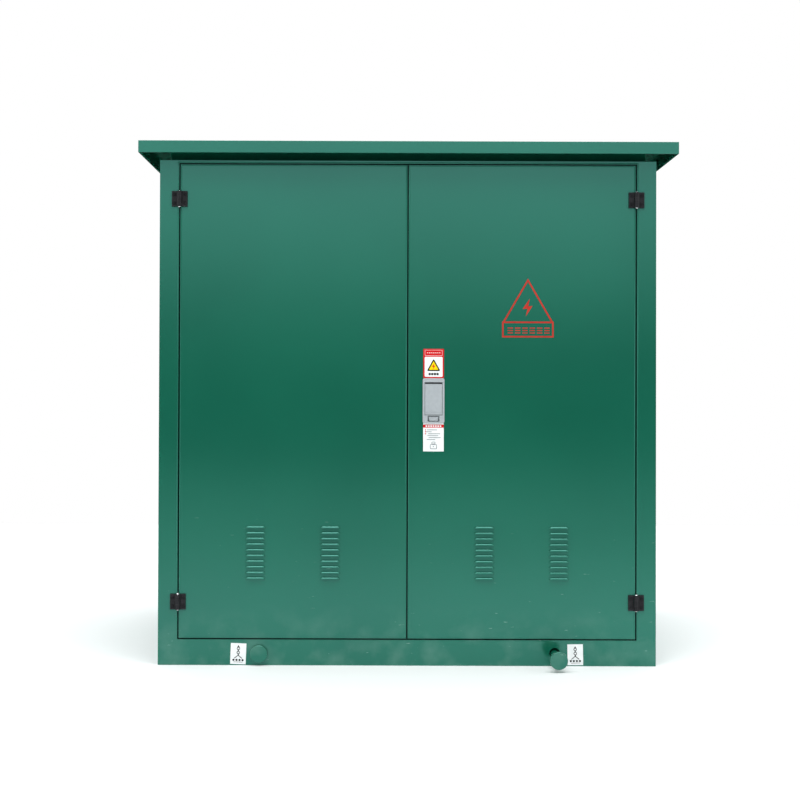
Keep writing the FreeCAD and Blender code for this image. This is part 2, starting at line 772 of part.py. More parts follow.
def cooling_fins():
    """Flat oil-filled fins welded on the tank's sides and back."""
    fins = []
    half = fin_thickness / 2
    for n in range(9):
        y = tank_front_y + 50 + fin_pitch * n
        for x0 in (-tank_width / 2 - fin_depth, tank_width / 2):
            fins.append(block(x0, x0 + fin_depth, y - half, y + half, fin_bottom, fin_top))
    for n in range(-7, 8):
        x = fin_pitch * n
        fins.append(block(x - half, x + half, tank_back_y, tank_back_y + fin_depth, fin_bottom, fin_top))
    return fins


limb_pitch = 215.0
core_steel = 80.0
core_bottom = 120.0
core_top = 560.0
core_y = (tank_front_y + tank_back_y) / 2


def magnetic_core():
    """Three limbs joined by an upper and a lower yoke, on feet down to the tank's floor."""
    half = core_steel / 2
    x_end = limb_pitch + half
    limbs = [block(x - half, x + half, core_y - half, core_y + half, core_bottom, core_top)
             for x in (-limb_pitch, 0, limb_pitch)]
    yokes = [block(-x_end, x_end, core_y - half, core_y + half, z, z + core_steel)
             for z in (core_bottom, core_top - core_steel)]
    feet = [block(sx * limb_pitch - 30, sx * limb_pitch + 30, core_y - half, core_y + half,
                  tank_bottom + tank_wall, core_bottom) for sx in (-1, 1)]
    return join(limbs + yokes + feet)


def winding(outer, inner):
    z0 = core_bottom + core_steel + 15
    length = core_top - core_steel - 15 - z0
    return [tube(x, core_y, z0, Z, outer, inner, length) for x in (-limb_pitch, 0, limb_pitch)]


def hv_bushings():
    """Flanged tapered insulators on the tank's face."""
    shapes = []
    for x in hv_cable_x:
        base = rod(x, tank_front_y - 10, bushing_z, Y, hv_bushing_radius, 10)
        nose = cone(x, tank_front_y - 80, bushing_z, Y, 18, 26, 72)
        shapes.append(join([base, nose]))
    return shapes


def hv_bushing_caps():
    """Insulating caps pushed over the bushings, each with a pulling eye."""
    caps = []
    for x in hv_cable_x:
        y0 = tank_front_y - 92
        body = rod(x, y0, bushing_z, Y, 32, 70)
        skirt = rod(x, y0 + 62, bushing_z, Y, 33.5, 8)
        stalk = rod(x, y0 - 8, bushing_z, Y, 8, 10)
        eye = Part.makeTorus(14, 4, vec(x, y0 - 20, bushing_z), X)
        socket = cone(x, tank_front_y - 80, bushing_z, Y, 18.05, 26.05, 72)
        caps.append(join([body, skirt, stalk, eye]).cut(socket))
    return caps


def lv_bushings():
    """Shedded insulators."""
    shapes = []
    for x in lv_cable_x:
        base = rod(x, tank_front_y - 10, bushing_z, Y, 28, 10)
        barrel = rod(x, tank_front_y - 60, bushing_z, Y, 19, 50)
        sheds = [cone(x, tank_front_y - y, bushing_z, Y, 20, 26, 7) for y in (24, 38, 52)]
        shapes.append(join([base, barrel] + sheds).cut(rod(x, tank_front_y - 60, bushing_z, Y, 10, 60)))
    return shapes


def lv_terminals():
    """Stems through the bushings with clamped spade ends, drilled for cable lugs."""
    shapes = []
    for x in lv_cable_x:
        stem = rod(x, tank_front_y - 78, bushing_z, Y, 10, 78)
        nut = hexagon(x, tank_front_y - 68, bushing_z, Y, 32, 8)
        block_end = rod(x, tank_front_y - 92, bushing_z, Y, 18, 18)
        spade = block(x - 25, x + 25, tank_front_y - 102, tank_front_y - 92, bushing_z - 75, bushing_z + 22)
        holes = [rod(x + dx, tank_front_y - 102, bushing_z - dz, Y, 6.5, 10) for dx in (-12, 12)
                 for dz in (35, 60)]
        shapes.append(cut_all(join([stem, nut, block_end, spade]), holes))
    return shapes


def oil_level_gauge():
    """Round dial housing with a bezel."""
    x, z = 0.0, 655.0
    case = tube(x, tank_front_y - 26, z, Y, 38, 32, 6)
    return join([case, rod(x, tank_front_y - 20, z, Y, 38, 12), rod(x, tank_front_y - 8, z, Y, 44, 8)])


def pressure_relief_valve():
    x, z = 170.0, 660.0
    body = hexagon(x, tank_front_y - 14, z, Y, 36, 14)
    stem = rod(x, tank_front_y - 46, z, Y, 12, 34)
    ring_pull = Part.makeTorus(13, 2.5, vec(x, tank_front_y - 56, z), X)
    return join([body, stem, ring_pull])


def turning_handle(x, z, reach, thickness):
    """Hub, spindle and hand bar of a switch that turns about an axis through the tank's face."""
    y_hub = tank_front_y - boss_length - 0.5
    spindle = rod(x, y_hub - 20, z, Y, 8.0, 38)
    hub = rod(x, y_hub - 22, z, Y, 20, 22)
    bar = block(x - reach, x + reach, y_hub - 22, y_hub - 22 + thickness, z - 9, z + 9)
    return join([spindle, hub, bar])


def load_break_handle():
    """Long single lever with a hook-stick eye at its end."""
    y = tank_front_y - boss_length - 22.5
    hub = turning_handle(switch_x, switch_z, 20, 10)
    arm = block(switch_x, switch_x + 95, y, y + 8, switch_z - 8, switch_z + 8)
    end = tube(switch_x + 105, y, switch_z, Y, 18, 10, 8)
    return join([hub, arm]).cut(rod(switch_x + 105, y, switch_z, Y, 14, 8)).fuse(end)


def drain_valve_handle():
    """Quarter-turn lever on top of the drain valve."""
    y = tank_front_y - 36
    stem = rod(drain_x, y, drain_z + 4, Z, 8.0, 28)
    lever = block(drain_x - 9, drain_x + 9, y - 55, y + 9, drain_z + 26, drain_z + 32)
    return join([stem, lever])


def earth_bar():
    """Flat bar on two pillars under the bushings, drilled for earth leads."""
    y = tank_front_y - 24
    bar = block(-300, 300, y - 6, y, 220, 250)
    pillars = [rod(sx * 270, y, 235, Y, 10, tank_front_y - y) for sx in (-1, 1)]
    holes = [rod(60.0 * n, y - 6, 235, Y, 5.5, 6) for n in range(-4, 5)]
    return cut_all(join([bar] + pillars), holes)


def main():
    os.makedirs("parts", exist_ok=True)
    left_panel = side_panel()
    pan = door_pan()
    seal = door_seal()
    hats = door_stiffeners()
    frame_leaves = [hinge_leaf(z, False) for z in hinge_z]
    door_leaves = [hinge_leaf(z, True) for z in hinge_z]
    pins = [hinge_pin_rod(z) for z in hinge_z]

    save("base_frame", base_frame())
    save("lifting_pin_tubes", lifting_pin_tubes())
    save("tank_rails", tank_rails())
    save("gland_plates", [gland_plate(-opening_x, -1, hv_cable_x), gland_plate(1, opening_x, lv_cable_x)])
    save("cable_grommets", cable_grommets())
    save("front_frame", front_frame())
    save("centre_post", centre_post())
    save("left_side_panel", left_panel)
    save("right_side_panel", mirror_x(left_panel))
    save("rear_panel", rear_panel())
    save("corner_posts", corner_posts())
    save("panel_bolts", panel_bolts())
    save("roof_neck", roof_neck())
    save("roof_fasteners", roof_fasteners())
    save("canopy_roof", canopy_roof())
    save("bulkhead", bulkhead())
    save("compartment_barrier", compartment_barrier())
    save("hinge_frame_leaves", frame_leaves + [mirror_x(s) for s in frame_leaves])
    save("hinge_pins", pins + [mirror_x(s) for s in pins])

    save("left_door", mirror_x(pan))
    save("left_door_seal", mirror_x(seal))
    save("left_door_stiffeners", [mirror_x(s) for s in hats])
    save("left_door_hinge_leaves", [mirror_x(s) for s in door_leaves])
    save("flush_bolt_guides", flush_bolt_guides())
    save("upper_flush_bolt", flush_bolt(True))
    save("lower_flush_bolt", flush_bolt(False))

    save("right_door", pan.cut(door_lock_cutout()))
    save("right_door_seal", seal)
    save("right_door_stiffeners", hats)
    save("right_door_hinge_leaves", door_leaves)
    save("lock_housing", lock_housing())
    save("lock_flap", lock_flap())
    save("lock_flap_pin", lock_flap_pin())
    save("lock_button", lock_button())
    save("lock_pinion", lock_pinion())
    save("upper_lock_rod", lock_rod(-1))
    save("lower_lock_rod", lock_rod(1))
    save("lock_rod_guides", lock_rod_guides())

    save("front_left_lifting_pin", lifting_pin(-pin_x, 0))
    save("front_right_lifting_pin", lifting_pin(pin_x, pin_travel))
    save("rear_left_lifting_pin", turned_half(lifting_pin(pin_x, 0)))
    save("rear_right_lifting_pin", turned_half(lifting_pin(-pin_x, 0)))

    save("transformer_tank", transformer_tank())
    save("cover_gasket", cover_gasket())
    save("tank_cover", tank_cover())
    save("cover_bolts", cover_bolts())
    save("cooling_fins", cooling_fins())
    save("magnetic_core", magnetic_core())
    save("low_voltage_coils", winding(75, 60))
    save("high_voltage_coils", winding(105, 80))
    save("hv_bushings", hv_bushings())
    save("hv_bushing_caps", hv_bushing_caps())
    save("lv_bushings", lv_bushings())
    save("lv_terminals", lv_terminals())
    save("oil_level_gauge", oil_level_gauge())
    save("pressure_relief_valve", pressure_relief_valve())
    save("load_break_handle", load_break_handle())
    save("tap_changer_handle", turning_handle(tap_x, tap_z, 45, 12))
    save("drain_valve_handle", drain_valve_handle())
    save("earth_bar", earth_bar())


main()
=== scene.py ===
import json
import math

import bmesh
import bpy
from mathutils import Matrix, Vector

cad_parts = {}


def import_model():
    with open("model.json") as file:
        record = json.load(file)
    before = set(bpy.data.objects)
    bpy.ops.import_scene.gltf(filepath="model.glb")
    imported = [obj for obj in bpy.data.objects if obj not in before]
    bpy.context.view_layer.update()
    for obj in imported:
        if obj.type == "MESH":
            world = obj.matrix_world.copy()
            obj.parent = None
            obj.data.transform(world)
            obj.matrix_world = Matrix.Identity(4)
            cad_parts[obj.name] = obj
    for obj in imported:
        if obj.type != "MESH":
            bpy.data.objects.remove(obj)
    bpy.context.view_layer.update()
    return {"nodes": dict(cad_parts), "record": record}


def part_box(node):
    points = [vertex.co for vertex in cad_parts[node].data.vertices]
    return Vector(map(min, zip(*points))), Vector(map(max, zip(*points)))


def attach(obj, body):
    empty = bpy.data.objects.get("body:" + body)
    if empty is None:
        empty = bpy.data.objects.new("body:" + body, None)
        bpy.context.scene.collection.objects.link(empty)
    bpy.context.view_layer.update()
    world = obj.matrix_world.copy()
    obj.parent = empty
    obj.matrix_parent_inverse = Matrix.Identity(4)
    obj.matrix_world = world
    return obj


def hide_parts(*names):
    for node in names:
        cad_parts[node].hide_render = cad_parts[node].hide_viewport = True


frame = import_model()
print("stage: frame loaded,", len(frame["nodes"]), "parts")


# A hex colour as linear light, by the sRGB curve
def linear(hexColour):
    channels = []
    for start in (1, 3, 5):
        value = int(hexColour[start:start + 2], 16) / 255
        channels.append(value / 12.92 if value <= 0.04045 else ((value + 0.055) / 1.055) ** 2.4)
    return (*channels, 1.0)


# Every finish starts from the Principled shader and reads Object coordinates
def startMaterial(name, hexColour, roughness, metallic=0.0):
    material = bpy.data.materials.new(name)
    material.use_nodes = True
    tree = material.node_tree
    shader = tree.nodes["Principled BSDF"]
    shader.inputs["Base Color"].default_value = linear(hexColour)
    shader.inputs["Roughness"].default_value = roughness
    shader.inputs["Metallic"].default_value = metallic
    coords = tree.nodes.new("ShaderNodeTexCoord").outputs["Object"]
    return material, tree, shader, coords


def stretched(tree, coords, scale, turn=(0, 0, 0)):
    mapping = tree.nodes.new("ShaderNodeMapping")
    mapping.inputs["Scale"].default_value = scale
    mapping.inputs["Rotation"].default_value = turn
    tree.links.new(coords, mapping.inputs["Vector"])
    return mapping.outputs["Vector"]


def noise(tree, coords, scale, detail=3.0):
    node = tree.nodes.new("ShaderNodeTexNoise")
    node.inputs["Scale"].default_value = scale
    node.inputs["Detail"].default_value = detail
    tree.links.new(coords, node.inputs["Vector"])
    return node.outputs["Fac"]


def remap(tree, value, low, high, toLow, toHigh):
    node = tree.nodes.new("ShaderNodeMapRange")
    for socket, number in zip(("From Min", "From Max", "To Min", "To Max"), (low, high, toLow, toHigh)):
        node.inputs[socket].default_value = number
    tree.links.new(value, node.inputs["Value"])
    return node.outputs["Result"]


def times(tree, first, second):
    node = tree.nodes.new("ShaderNodeMath")
    node.operation = "MULTIPLY"
    tree.links.new(first, node.inputs[0])
    tree.links.new(second, node.inputs[1])
    return node.outputs["Value"]


def heightOf(tree, coords):
    node = tree.nodes.new("ShaderNodeSeparateXYZ")
    tree.links.new(coords, node.inputs["Vector"])
    return node.outputs["Z"]


# The first colour is a hex value or an earlier blend
def blendColour(tree, shader, factor, first, second):
    node = tree.nodes.new("ShaderNodeMix")
    node.data_type = "RGBA"
    tree.links.new(factor, node.inputs["Factor"])
    if isinstance(first, str):
        node.inputs[6].default_value = linear(first)
    else:
        tree.links.new(first, node.inputs[6])
    node.inputs[7].default_value = linear(second)
    tree.links.new(node.outputs[2], shader.inputs["Base Color"])
    return node.outputs[2]


# The pattern takes the roughness from `less` below the stated value to `more` above it
def varyRoughness(tree, shader, pattern, roughness, less, more, low=0.3, high=0.7):
    rough = remap(tree, pattern, low, high, roughness - less, roughness + more)
    tree.links.new(rough, shader.inputs["Roughness"])


# Another bump can lie under this one
def addBump(tree, shader, height, distance, strength=0.5, under=None):
    node = tree.nodes.new("ShaderNodeBump")
    node.inputs["Distance"].default_value = distance
    node.inputs["Strength"].default_value = strength
    tree.links.new(height, node.inputs["Height"])
    if under is not None:
        tree.links.new(under, node.inputs["Normal"])
    tree.links.new(node.outputs["Normal"], shader.inputs["Normal"])
    return node.outputs["Normal"]


# Glossy powder coat: slight clouding, orange peel, dust near the ground and scuffs at the doors' feet
def powderGreen():
    paint = {"tone": "#0c5541", "lighter": "#105b46", "cloudScale": 2.2, "sheen": (0.42, 0.98, 0.93, 1.0),
             "roughness": 0.15, "grainScale": 1900.0, "grainDepth": 0.00003,
             "peelScale": 520.0, "peelDepth": 0.00010,
             "dust": "#9fb8ac", "dustScale": 14.0, "dustTop": 0.16, "dustMost": 0.2,
             "scuffScale": 38.0, "scuffFrom": 0.71, "scuffFull": 0.76, "scuffMost": 0.55,
             "scuffLow": 0.05, "scuffTop": 0.45, "scuffTurn": (0.3, 0.2, 0.5),
             "scuffStretch": (1.0, 1.0, 6.0)}
    material, tree, shader, coords = startMaterial("powderGreen", paint["tone"], paint["roughness"])
    shader.inputs["Specular IOR Level"].default_value = 1.0
    shader.inputs["Specular Tint"].default_value = paint["sheen"]
    cloud = remap(tree, noise(tree, coords, paint["cloudScale"], 2.0), 0.35, 0.65, 0.0, 1.0)
    base = blendColour(tree, shader, cloud, paint["tone"], paint["lighter"])
    height = heightOf(tree, coords)
    low = remap(tree, height, 0.0, paint["dustTop"], 1.0, 0.0)
    dust = remap(tree, noise(tree, coords, paint["dustScale"], 5.0), 0.45, 0.8, 0.0, paint["dustMost"])
    dusty = blendColour(tree, shader, times(tree, low, dust), base, paint["dust"])
    scuffPlan = stretched(tree, coords, paint["scuffStretch"], paint["scuffTurn"])
    scuff = remap(tree, noise(tree, scuffPlan, paint["scuffScale"], 6.0),
                  paint["scuffFrom"], paint["scuffFull"], 0.0, paint["scuffMost"])
    nearFoot = remap(tree, height, paint["scuffLow"], paint["scuffTop"], 1.0, 0.0)
    blendColour(tree, shader, times(tree, scuff, nearFoot), dusty, paint["dust"])
    grain = noise(tree, coords, paint["grainScale"], 1.0)
    varyRoughness(tree, shader, grain, paint["roughness"], 0.03, 0.04)
    fine = addBump(tree, shader, grain, paint["grainDepth"], 0.25)
    addBump(tree, shader, noise(tree, coords, paint["peelScale"], 1.5), paint["peelDepth"], 0.35, fine)
    return material


def galvanised():
    zinc = {"dark": "#8b9092", "light": "#b4b8ba", "spangle": 85.0, "roughness": 0.42, "metallic": 0.85,
            "grainScale": 300.0, "grainDepth": 0.00006}
    material, tree, shader, coords = startMaterial("galvanised", zinc["dark"], zinc["roughness"],
                                                   zinc["metallic"])
    cells = tree.nodes.new("ShaderNodeTexVoronoi")
    cells.inputs["Scale"].default_value = zinc["spangle"]
    tree.links.new(coords, cells.inputs["Vector"])
    shade = tree.nodes.new("ShaderNodeSeparateColor")
    tree.links.new(cells.outputs["Color"], shade.inputs["Color"])
    blendColour(tree, shader, shade.outputs["Red"], zinc["dark"], zinc["light"])
    varyRoughness(tree, shader, shade.outputs["Green"], zinc["roughness"], 0.1, 0.1, 0.0, 1.0)
    addBump(tree, shader, noise(tree, coords, zinc["grainScale"]), zinc["grainDepth"], 0.3)
    return material


# Metal with fine lines round it; the lines also vary the gloss
def brushed(name, dark, light, roughness, scale, metallic=1.0):
    material, tree, shader, coords = startMaterial(name, dark, roughness, metallic)
    lines = noise(tree, stretched(tree, coords, (1.0, 1.0, 14.0)), scale, 4.0)
    blendColour(tree, shader, lines, dark, light)
    varyRoughness(tree, shader, lines, roughness, 0.07, 0.09)
    addBump(tree, shader, lines, 0.00003, 0.3)
    return material


# Plastics, rubber, paint and ink: broad patches of tone under a fine grain
def grained(name, dark, light, roughness, scale, depth, metallic=0.0, specular=0.5):
    material, tree, shader, coords = startMaterial(name, dark, roughness, metallic)
    shader.inputs["Specular IOR Level"].default_value = specular
    patches = noise(tree, coords, scale / 14, 3.0)
    blendColour(tree, shader, remap(tree, patches, 0.35, 0.65, 0.0, 1.0), dark, light)
    grain = noise(tree, coords, scale, 2.0)
    varyRoughness(tree, shader, grain, roughness, 0.05, 0.06)
    addBump(tree, shader, grain, depth, 0.4)
    return material


# Layers that show as bands: laminate, stacked core plates, wound strip
def banded(name, dark, light, roughness, scale, direction, metallic):
    material, tree, shader, coords = startMaterial(name, dark, roughness, metallic)
    wave = tree.nodes.new("ShaderNodeTexWave")
    wave.bands_direction = direction
    wave.inputs["Scale"].default_value = scale
    wave.inputs["Distortion"].default_value = 0.4
    tree.links.new(coords, wave.inputs["Vector"])
    blendColour(tree, shader, wave.outputs["Fac"], dark, light)
    addBump(tree, shader, wave.outputs["Fac"], 0.0004, 0.6)
    return material


# One finish for each material slot: dark and light tone, roughness and scale, then what the kind adds
finishes = {
    "green_paint": powderGreen(),
    "galvanised_steel": galvanised(),
    "zinc_fasteners": brushed("zincFastener", "#8f8f88", "#c2c0b2", 0.36, 240.0),
    "black_hinge": grained("blackHinge", "#121316", "#1d1d21", 0.5, 1400.0, 0.00005, 0.0, 0.25),
    "bright_pin": brushed("brightPin", "#b9bcc0", "#e3e4e6", 0.2, 300.0),
    "rubber": grained("blackRubber", "#060607", "#0d0d0e", 0.75, 900.0, 0.00008, 0.0, 0.2),
    "lock_grey": grained("lockGrey", "#a6acb0", "#acb2b6", 0.4, 1700.0, 0.00004, 0.2),
    "insulating_sheet": banded("laminateSheet", "#a8834b", "#c09a5e", 0.35, 260.0, "DIAGONAL", 0.0),
    "tank_paint": grained("tankGrey", "#62696b", "#6d7577", 0.33, 650.0, 0.0001),
    "core_steel": banded("coreSteel", "#3c4045", "#5b6066", 0.45, 320.0, "Y", 0.9),
    "winding_copper": banded("windingCopper", "#8a4522", "#b8683a", 0.32, 120.0, "Z", 0.9),
    "porcelain": grained("brownGlaze", "#4a2114", "#5a2b1a", 0.12, 60.0, 0.00005),
    "tinned_brass": brushed("tinnedBrass", "#a3956a", "#c4b78d", 0.3, 200.0),
    "gauge_case": grained("gaugeBlack", "#1d1e20", "#2b2c2e", 0.45, 1200.0, 0.00005),
    "handle_red": grained("handleRed", "#8f1c14", "#a3251a", 0.32, 700.0, 0.00008),
}
# Inks and label stock, given in the same way
prints = {
    "labelWhite": grained("labelWhite", "#e6e9e9", "#eef0f0", 0.4, 800.0, 0.00002),
    "labelRed": grained("labelRed", "#c60d14", "#cf161b", 0.5, 800.0, 0.00002, 0.0, 0.15),
    "labelYellow": grained("labelYellow", "#f4cc00", "#f8d60c", 0.5, 800.0, 0.00002, 0.0, 0.15),
    "labelGrey": grained("labelGrey", "#767c80", "#858b8f", 0.45, 800.0, 0.00002),
    "labelBlack": grained("labelBlack", "#0e0f12", "#17181b", 0.5, 800.0, 0.00002, 0.0, 0.15),
    "printRed": grained("printRed", "#a8241a", "#b42f20", 0.55, 600.0, 0.00003, 0.0, 0.25),
}
slotOf = {part["node"]: part["material_slot"] for part in frame["record"]["subparts"]}
bodyOf = {}
for bodyName, nodeNames in frame["record"]["behaviour"]["bodies"].items():
    for nodeName in nodeNames:
        bodyOf[nodeName] = bodyName
for nodeName, part in frame["nodes"].items():
    for materialSlot in part.material_slots:
        materialSlot.material = finishes[slotOf[nodeName]]
print("stage: finishes assigned")


# Bmesh work becomes a piece that rides on its body
def finishPiece(name, shape, materials, bodyName, smoothAngle=32, weighted=False):
    mesh = bpy.data.meshes.new(name)
    shape.to_mesh(mesh)
    shape.free()
    for material in materials:
        mesh.materials.append(material)
    piece = bpy.data.objects.new(name, mesh)
    bpy.context.collection.objects.link(piece)
    mesh.shade_smooth()
    mesh.set_sharp_from_angle(angle=math.radians(smoothAngle))
    if weighted:
        weightNormals(piece)
    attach(piece, bodyName)
    return piece


# Big flat faces keep their own normals beside the narrow eased edges
def weightNormals(piece):
    weights = piece.modifiers.new("weights", "WEIGHTED_NORMAL")
    weights.keep_sharp = True
    weights.weight = 100
    graph = bpy.context.evaluated_depsgraph_get()
    made = bpy.data.meshes.new_from_object(piece.evaluated_get(graph), depsgraph=graph)
    piece.modifiers.clear()
    piece.data = made


# A CAD part again with its sharp edges eased, so that they catch the light
def easedPart(nodeName, width):
    easing = {"segments": 2, "merge": 0.00001, "flatAngle": 0.1, "sharpAngle": 38, "smoothAngle": 50}
    shape = bmesh.new()
    shape.from_mesh(frame["nodes"][nodeName].data)
    bmesh.ops.remove_doubles(shape, verts=shape.verts, dist=easing["merge"])
    bmesh.ops.dissolve_limit(shape, angle_limit=math.radians(easing["flatAngle"]), verts=shape.verts,
                             edges=shape.edges)
    sharp = [edge for edge in shape.edges
             if len(edge.link_faces) == 2 and edge.calc_face_angle(0) > math.radians(easing["sharpAngle"])]
    bmesh.ops.bevel(shape, geom=sharp, offset=width, segments=easing["segments"], profile=0.5, affect="EDGES",
                    clamp_overlap=True)
    bmesh.ops.triangulate(shape, faces=[face for face in shape.faces if len(face.verts) > 4])
    slotName = slotOf[nodeName]
    piece = finishPiece("eased_" + nodeName, shape, [finishes[slotName]], bodyOf[nodeName],
                        easing["smoothAngle"], True)
    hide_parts(nodeName)


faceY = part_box("base_frame")[0].y  # the plane of the doors, the stiles and the base rail
easedWidths = {"hinge_frame_leaves": 0.0008, "left_door_hinge_leaves": 0.0008,
               "right_door_hinge_leaves": 0.0008, "lock_housing": 0.0006, "lock_flap": 0.0007,
               "lock_button": 0.0007, "canopy_roof": 0.0008, "base_frame": 0.0008}
for nodeName, easedWidth in easedWidths.items():
    easedPart(nodeName, easedWidth)
print("stage: eased parts made")


# Flat outlines are (x, z) points, anticlockwise seen from the doors' side
def rectangle(x0, x1, z0, z1):
    return [(x0, z0), (x1, z0), (x1, z1), (x0, z1)]


def circle(x, z, radius, count):
    angles = [2 * math.pi * n / count for n in range(count)]
    return [(x + radius * math.cos(angle), z + radius * math.sin(angle)) for angle in angles]


# Each corner becomes a short curve that starts and ends `reach` away from it
def rounded(outline, reach, steps=5):
    points = []
    for n, corner in enumerate(outline):
        here = Vector(corner)
        start = here + (Vector(outline[n - 1]) - here).normalized() * reach
        end = here + (Vector(outline[(n + 1) % len(outline)]) - here).normalized() * reach
        for step in range(steps + 1):
            t = step / steps
            point = start * (1 - t) ** 2 + here * (2 * t * (1 - t)) + end * t ** 2
            points.append((point.x, point.y))
    return points


# The outline moved inwards by `distance`, with mitred corners
def inset(outline, distance):
    points = []
    for n, corner in enumerate(outline):
        here = Vector(corner)
        before = (here - Vector(outline[n - 1])).normalized()
        after = (Vector(outline[(n + 1) % len(outline)]) - here).normalized()
        normalBefore = Vector((-before.y, before.x))
        normalAfter = Vector((-after.y, after.x))
        middle = (normalBefore + normalAfter).normalized()
        point = here + middle * (distance / max(middle.dot(normalBefore), 0.2))
        points.append((point.x, point.y))
    return points


# A flat outline given thickness, from its back to its front
def addPlate(shape, outline, back, front, materialIndex=0):
    rear = [shape.verts.new((x, back, z)) for x, z in outline]
    face = [shape.verts.new((x, front, z)) for x, z in outline]
    made = [shape.faces.new(face), shape.faces.new(rear[::-1])]
    for n in range(len(outline)):
        m = (n + 1) % len(outline)
        made.append(shape.faces.new((rear[n], rear[m], face[m], face[n])))
    for one in made:
        one.material_index = materialIndex


def addRing(shape, outer, inner, back, front, materialIndex=0):
    layers = [[shape.verts.new((x, y, z)) for x, z in outline]
              for outline in (outer, inner) for y in (back, front)]
    outerBack, outerFront, innerBack, innerFront = layers
    for n in range(len(outer)):
        m = (n + 1) % len(outer)
        for quad in ((outerFront[n], outerFront[m], innerFront[m], innerFront[n]),
                     (outerBack[n], innerBack[n], innerBack[m], outerBack[m]),
                     (outerBack[n], outerBack[m], outerFront[m], outerFront[n]),
                     (innerBack[n], innerFront[n], innerFront[m], innerBack[m])):
            shape.faces.new(quad).material_index = materialIndex


def addStroke(shape, start, end, width, back, front, materialIndex=0):
    along = (Vector(end) - Vector(start)).normalized() * width / 2
    side = Vector((-along.y, along.x))
    a, b = Vector(start), Vector(end)
    outline = [tuple(a - side), tuple(b - side), tuple(b + side), tuple(a + side)]
    addPlate(shape, outline, back, front, materialIndex)


# A lightning bolt that fits a box of the given height round (x, z)
def boltOutline(x, z, height):
    shapePoints = ((0.10, 0.50), (-0.30, -0.08), (-0.02, -0.06), (-0.12, -0.50), (0.26, 0.10), (0.02, 0.07))
    return [(x + px * height, z + pz * height) for px, pz in shapePoints]


lockLow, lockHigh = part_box("lock_housing")
lockX = (lockLow.x + lockHigh.x) / 2
film = 0.00025  # thickness of a printed film


# Films lie on one another, so that no two share a plane
def layer(number):
    return faceY - film * number


# Printed straight on the door: a warning triangle with a bolt, over a box of plain blocks
def hazardSign():
    sign = {"centreX": 0.3095, "apex": 0.9965, "base": 0.8816, "half": 0.0665, "boxHeight": 0.037,
            "line": 0.0042, "boltHeight": 0.046, "boltUp": 0.040, "marks": 6, "markShare": 0.72,
            "bars": 3, "firstBar": 0.0060, "barPitch": 0.0064, "barHeight": 0.0026}
    shape = bmesh.new()
    x, half, line = sign["centreX"], sign["half"], sign["line"]
    triangle = [(x - half, sign["base"]), (x + half, sign["base"]), (x, sign["apex"])]
    addRing(shape, triangle, inset(triangle, line), layer(0), layer(1))
    foot = sign["base"] - sign["boxHeight"]
    box = rectangle(x - half, x + half, foot, sign["base"] + line)
    addRing(shape, box, inset(box, line), layer(0), layer(0.5))  # thinner, as it crosses the triangle
    addPlate(shape, boltOutline(x, sign["base"] + sign["boltUp"], sign["boltHeight"]), layer(0), layer(1))
    pitch = 2 * (half - line) / (sign["marks"] + 0.6)
    for n in range(sign["marks"]):
        left = x - half + line + pitch * (n + 0.55)
        for bar in range(sign["bars"]):
            low = foot + line + sign["firstBar"] + bar * sign["barPitch"]
            block = rectangle(left, left + pitch * sign["markShare"], low, low + sign["barHeight"])
            addPlate(shape, block, layer(0), layer(1))
    return finishPiece("hazardSign", shape, [prints["printRed"]], "right_door")


# Above the lock: a red sticker with a dotted header and a yellow triangle on a white panel
def upperSticker():
    sticker = {"width": 0.053, "height": 0.0755, "corner": 0.0022, "border": 0.0034, "panelCorner": 0.003,
               "header": 0.0205, "headerSide": 0.004, "headerGap": 0.003, "headerLine": 0.0006,
               "dots": 7, "dotPitch": 0.0052, "dotRadius": 0.0013,
               "triangle": 0.0174, "triangleUp": 0.0335, "triangleCorner": 0.0042, "triangleLine": 0.0030,
               "boltHeight": 0.0150, "boltDown": 0.003,
               "marks": 4, "markPitch": 0.0068, "markHalf": 0.0027, "markLow": 0.0078, "markHigh": 0.0134}
    white, red, yellow, black = range(4)
    shape = bmesh.new()
    half = sticker["width"] / 2
    low, high = lockHigh.z, lockHigh.z + sticker["height"]
    sheet = rounded(rectangle(lockX - half, lockX + half, low, high), sticker["corner"])
    addPlate(shape, sheet, layer(0), layer(1), red)
    side = half - sticker["border"]
    panel = rectangle(lockX - side, lockX + side, low + sticker["border"], high - sticker["header"])
    addPlate(shape, rounded(panel, sticker["panelCorner"]), layer(1), layer(2), white)
    side = half - sticker["headerSide"]
    head = rectangle(lockX - side, lockX + side, high - sticker["header"] + sticker["headerGap"],
                     high - sticker["headerGap"])
    addRing(shape, head, inset(head, sticker["headerLine"]), layer(1), layer(2), white)
    for n in range(sticker["dots"]):
        x = lockX + sticker["dotPitch"] * (n - (sticker["dots"] - 1) / 2)
        dot = circle(x, high - sticker["header"] / 2, sticker["dotRadius"], 12)
        addPlate(shape, dot, layer(1), layer(2), white)
    size = sticker["triangle"]
    centre = low + sticker["triangleUp"]
    triangle = [(lockX - size, centre - size * 0.86), (lockX + size, centre - size * 0.86),
                (lockX, centre + size * 0.95)]
    soft = rounded(triangle, sticker["triangleCorner"])
    addPlate(shape, soft, layer(2), layer(3), black)
    addPlate(shape, inset(soft, sticker["triangleLine"]), layer(3), layer(4), yellow)
    bolt = boltOutline(lockX, centre - sticker["boltDown"], sticker["boltHeight"])
    addPlate(shape, bolt, layer(4), layer(5), red)
    for n in range(sticker["marks"]):
        x = lockX + sticker["markPitch"] * (n - (sticker["marks"] - 1) / 2)
        block = rectangle(x - sticker["markHalf"], x + sticker["markHalf"],
                          low + sticker["markLow"], low + sticker["markHigh"])
        addPlate(shape, rounded(block, 0.0009), layer(2), layer(3), black)
    inks = [prints[name] for name in ("labelWhite", "labelRed", "labelYellow", "labelBlack")]
    return finishPiece("hazardSticker", shape, inks, "right_door")


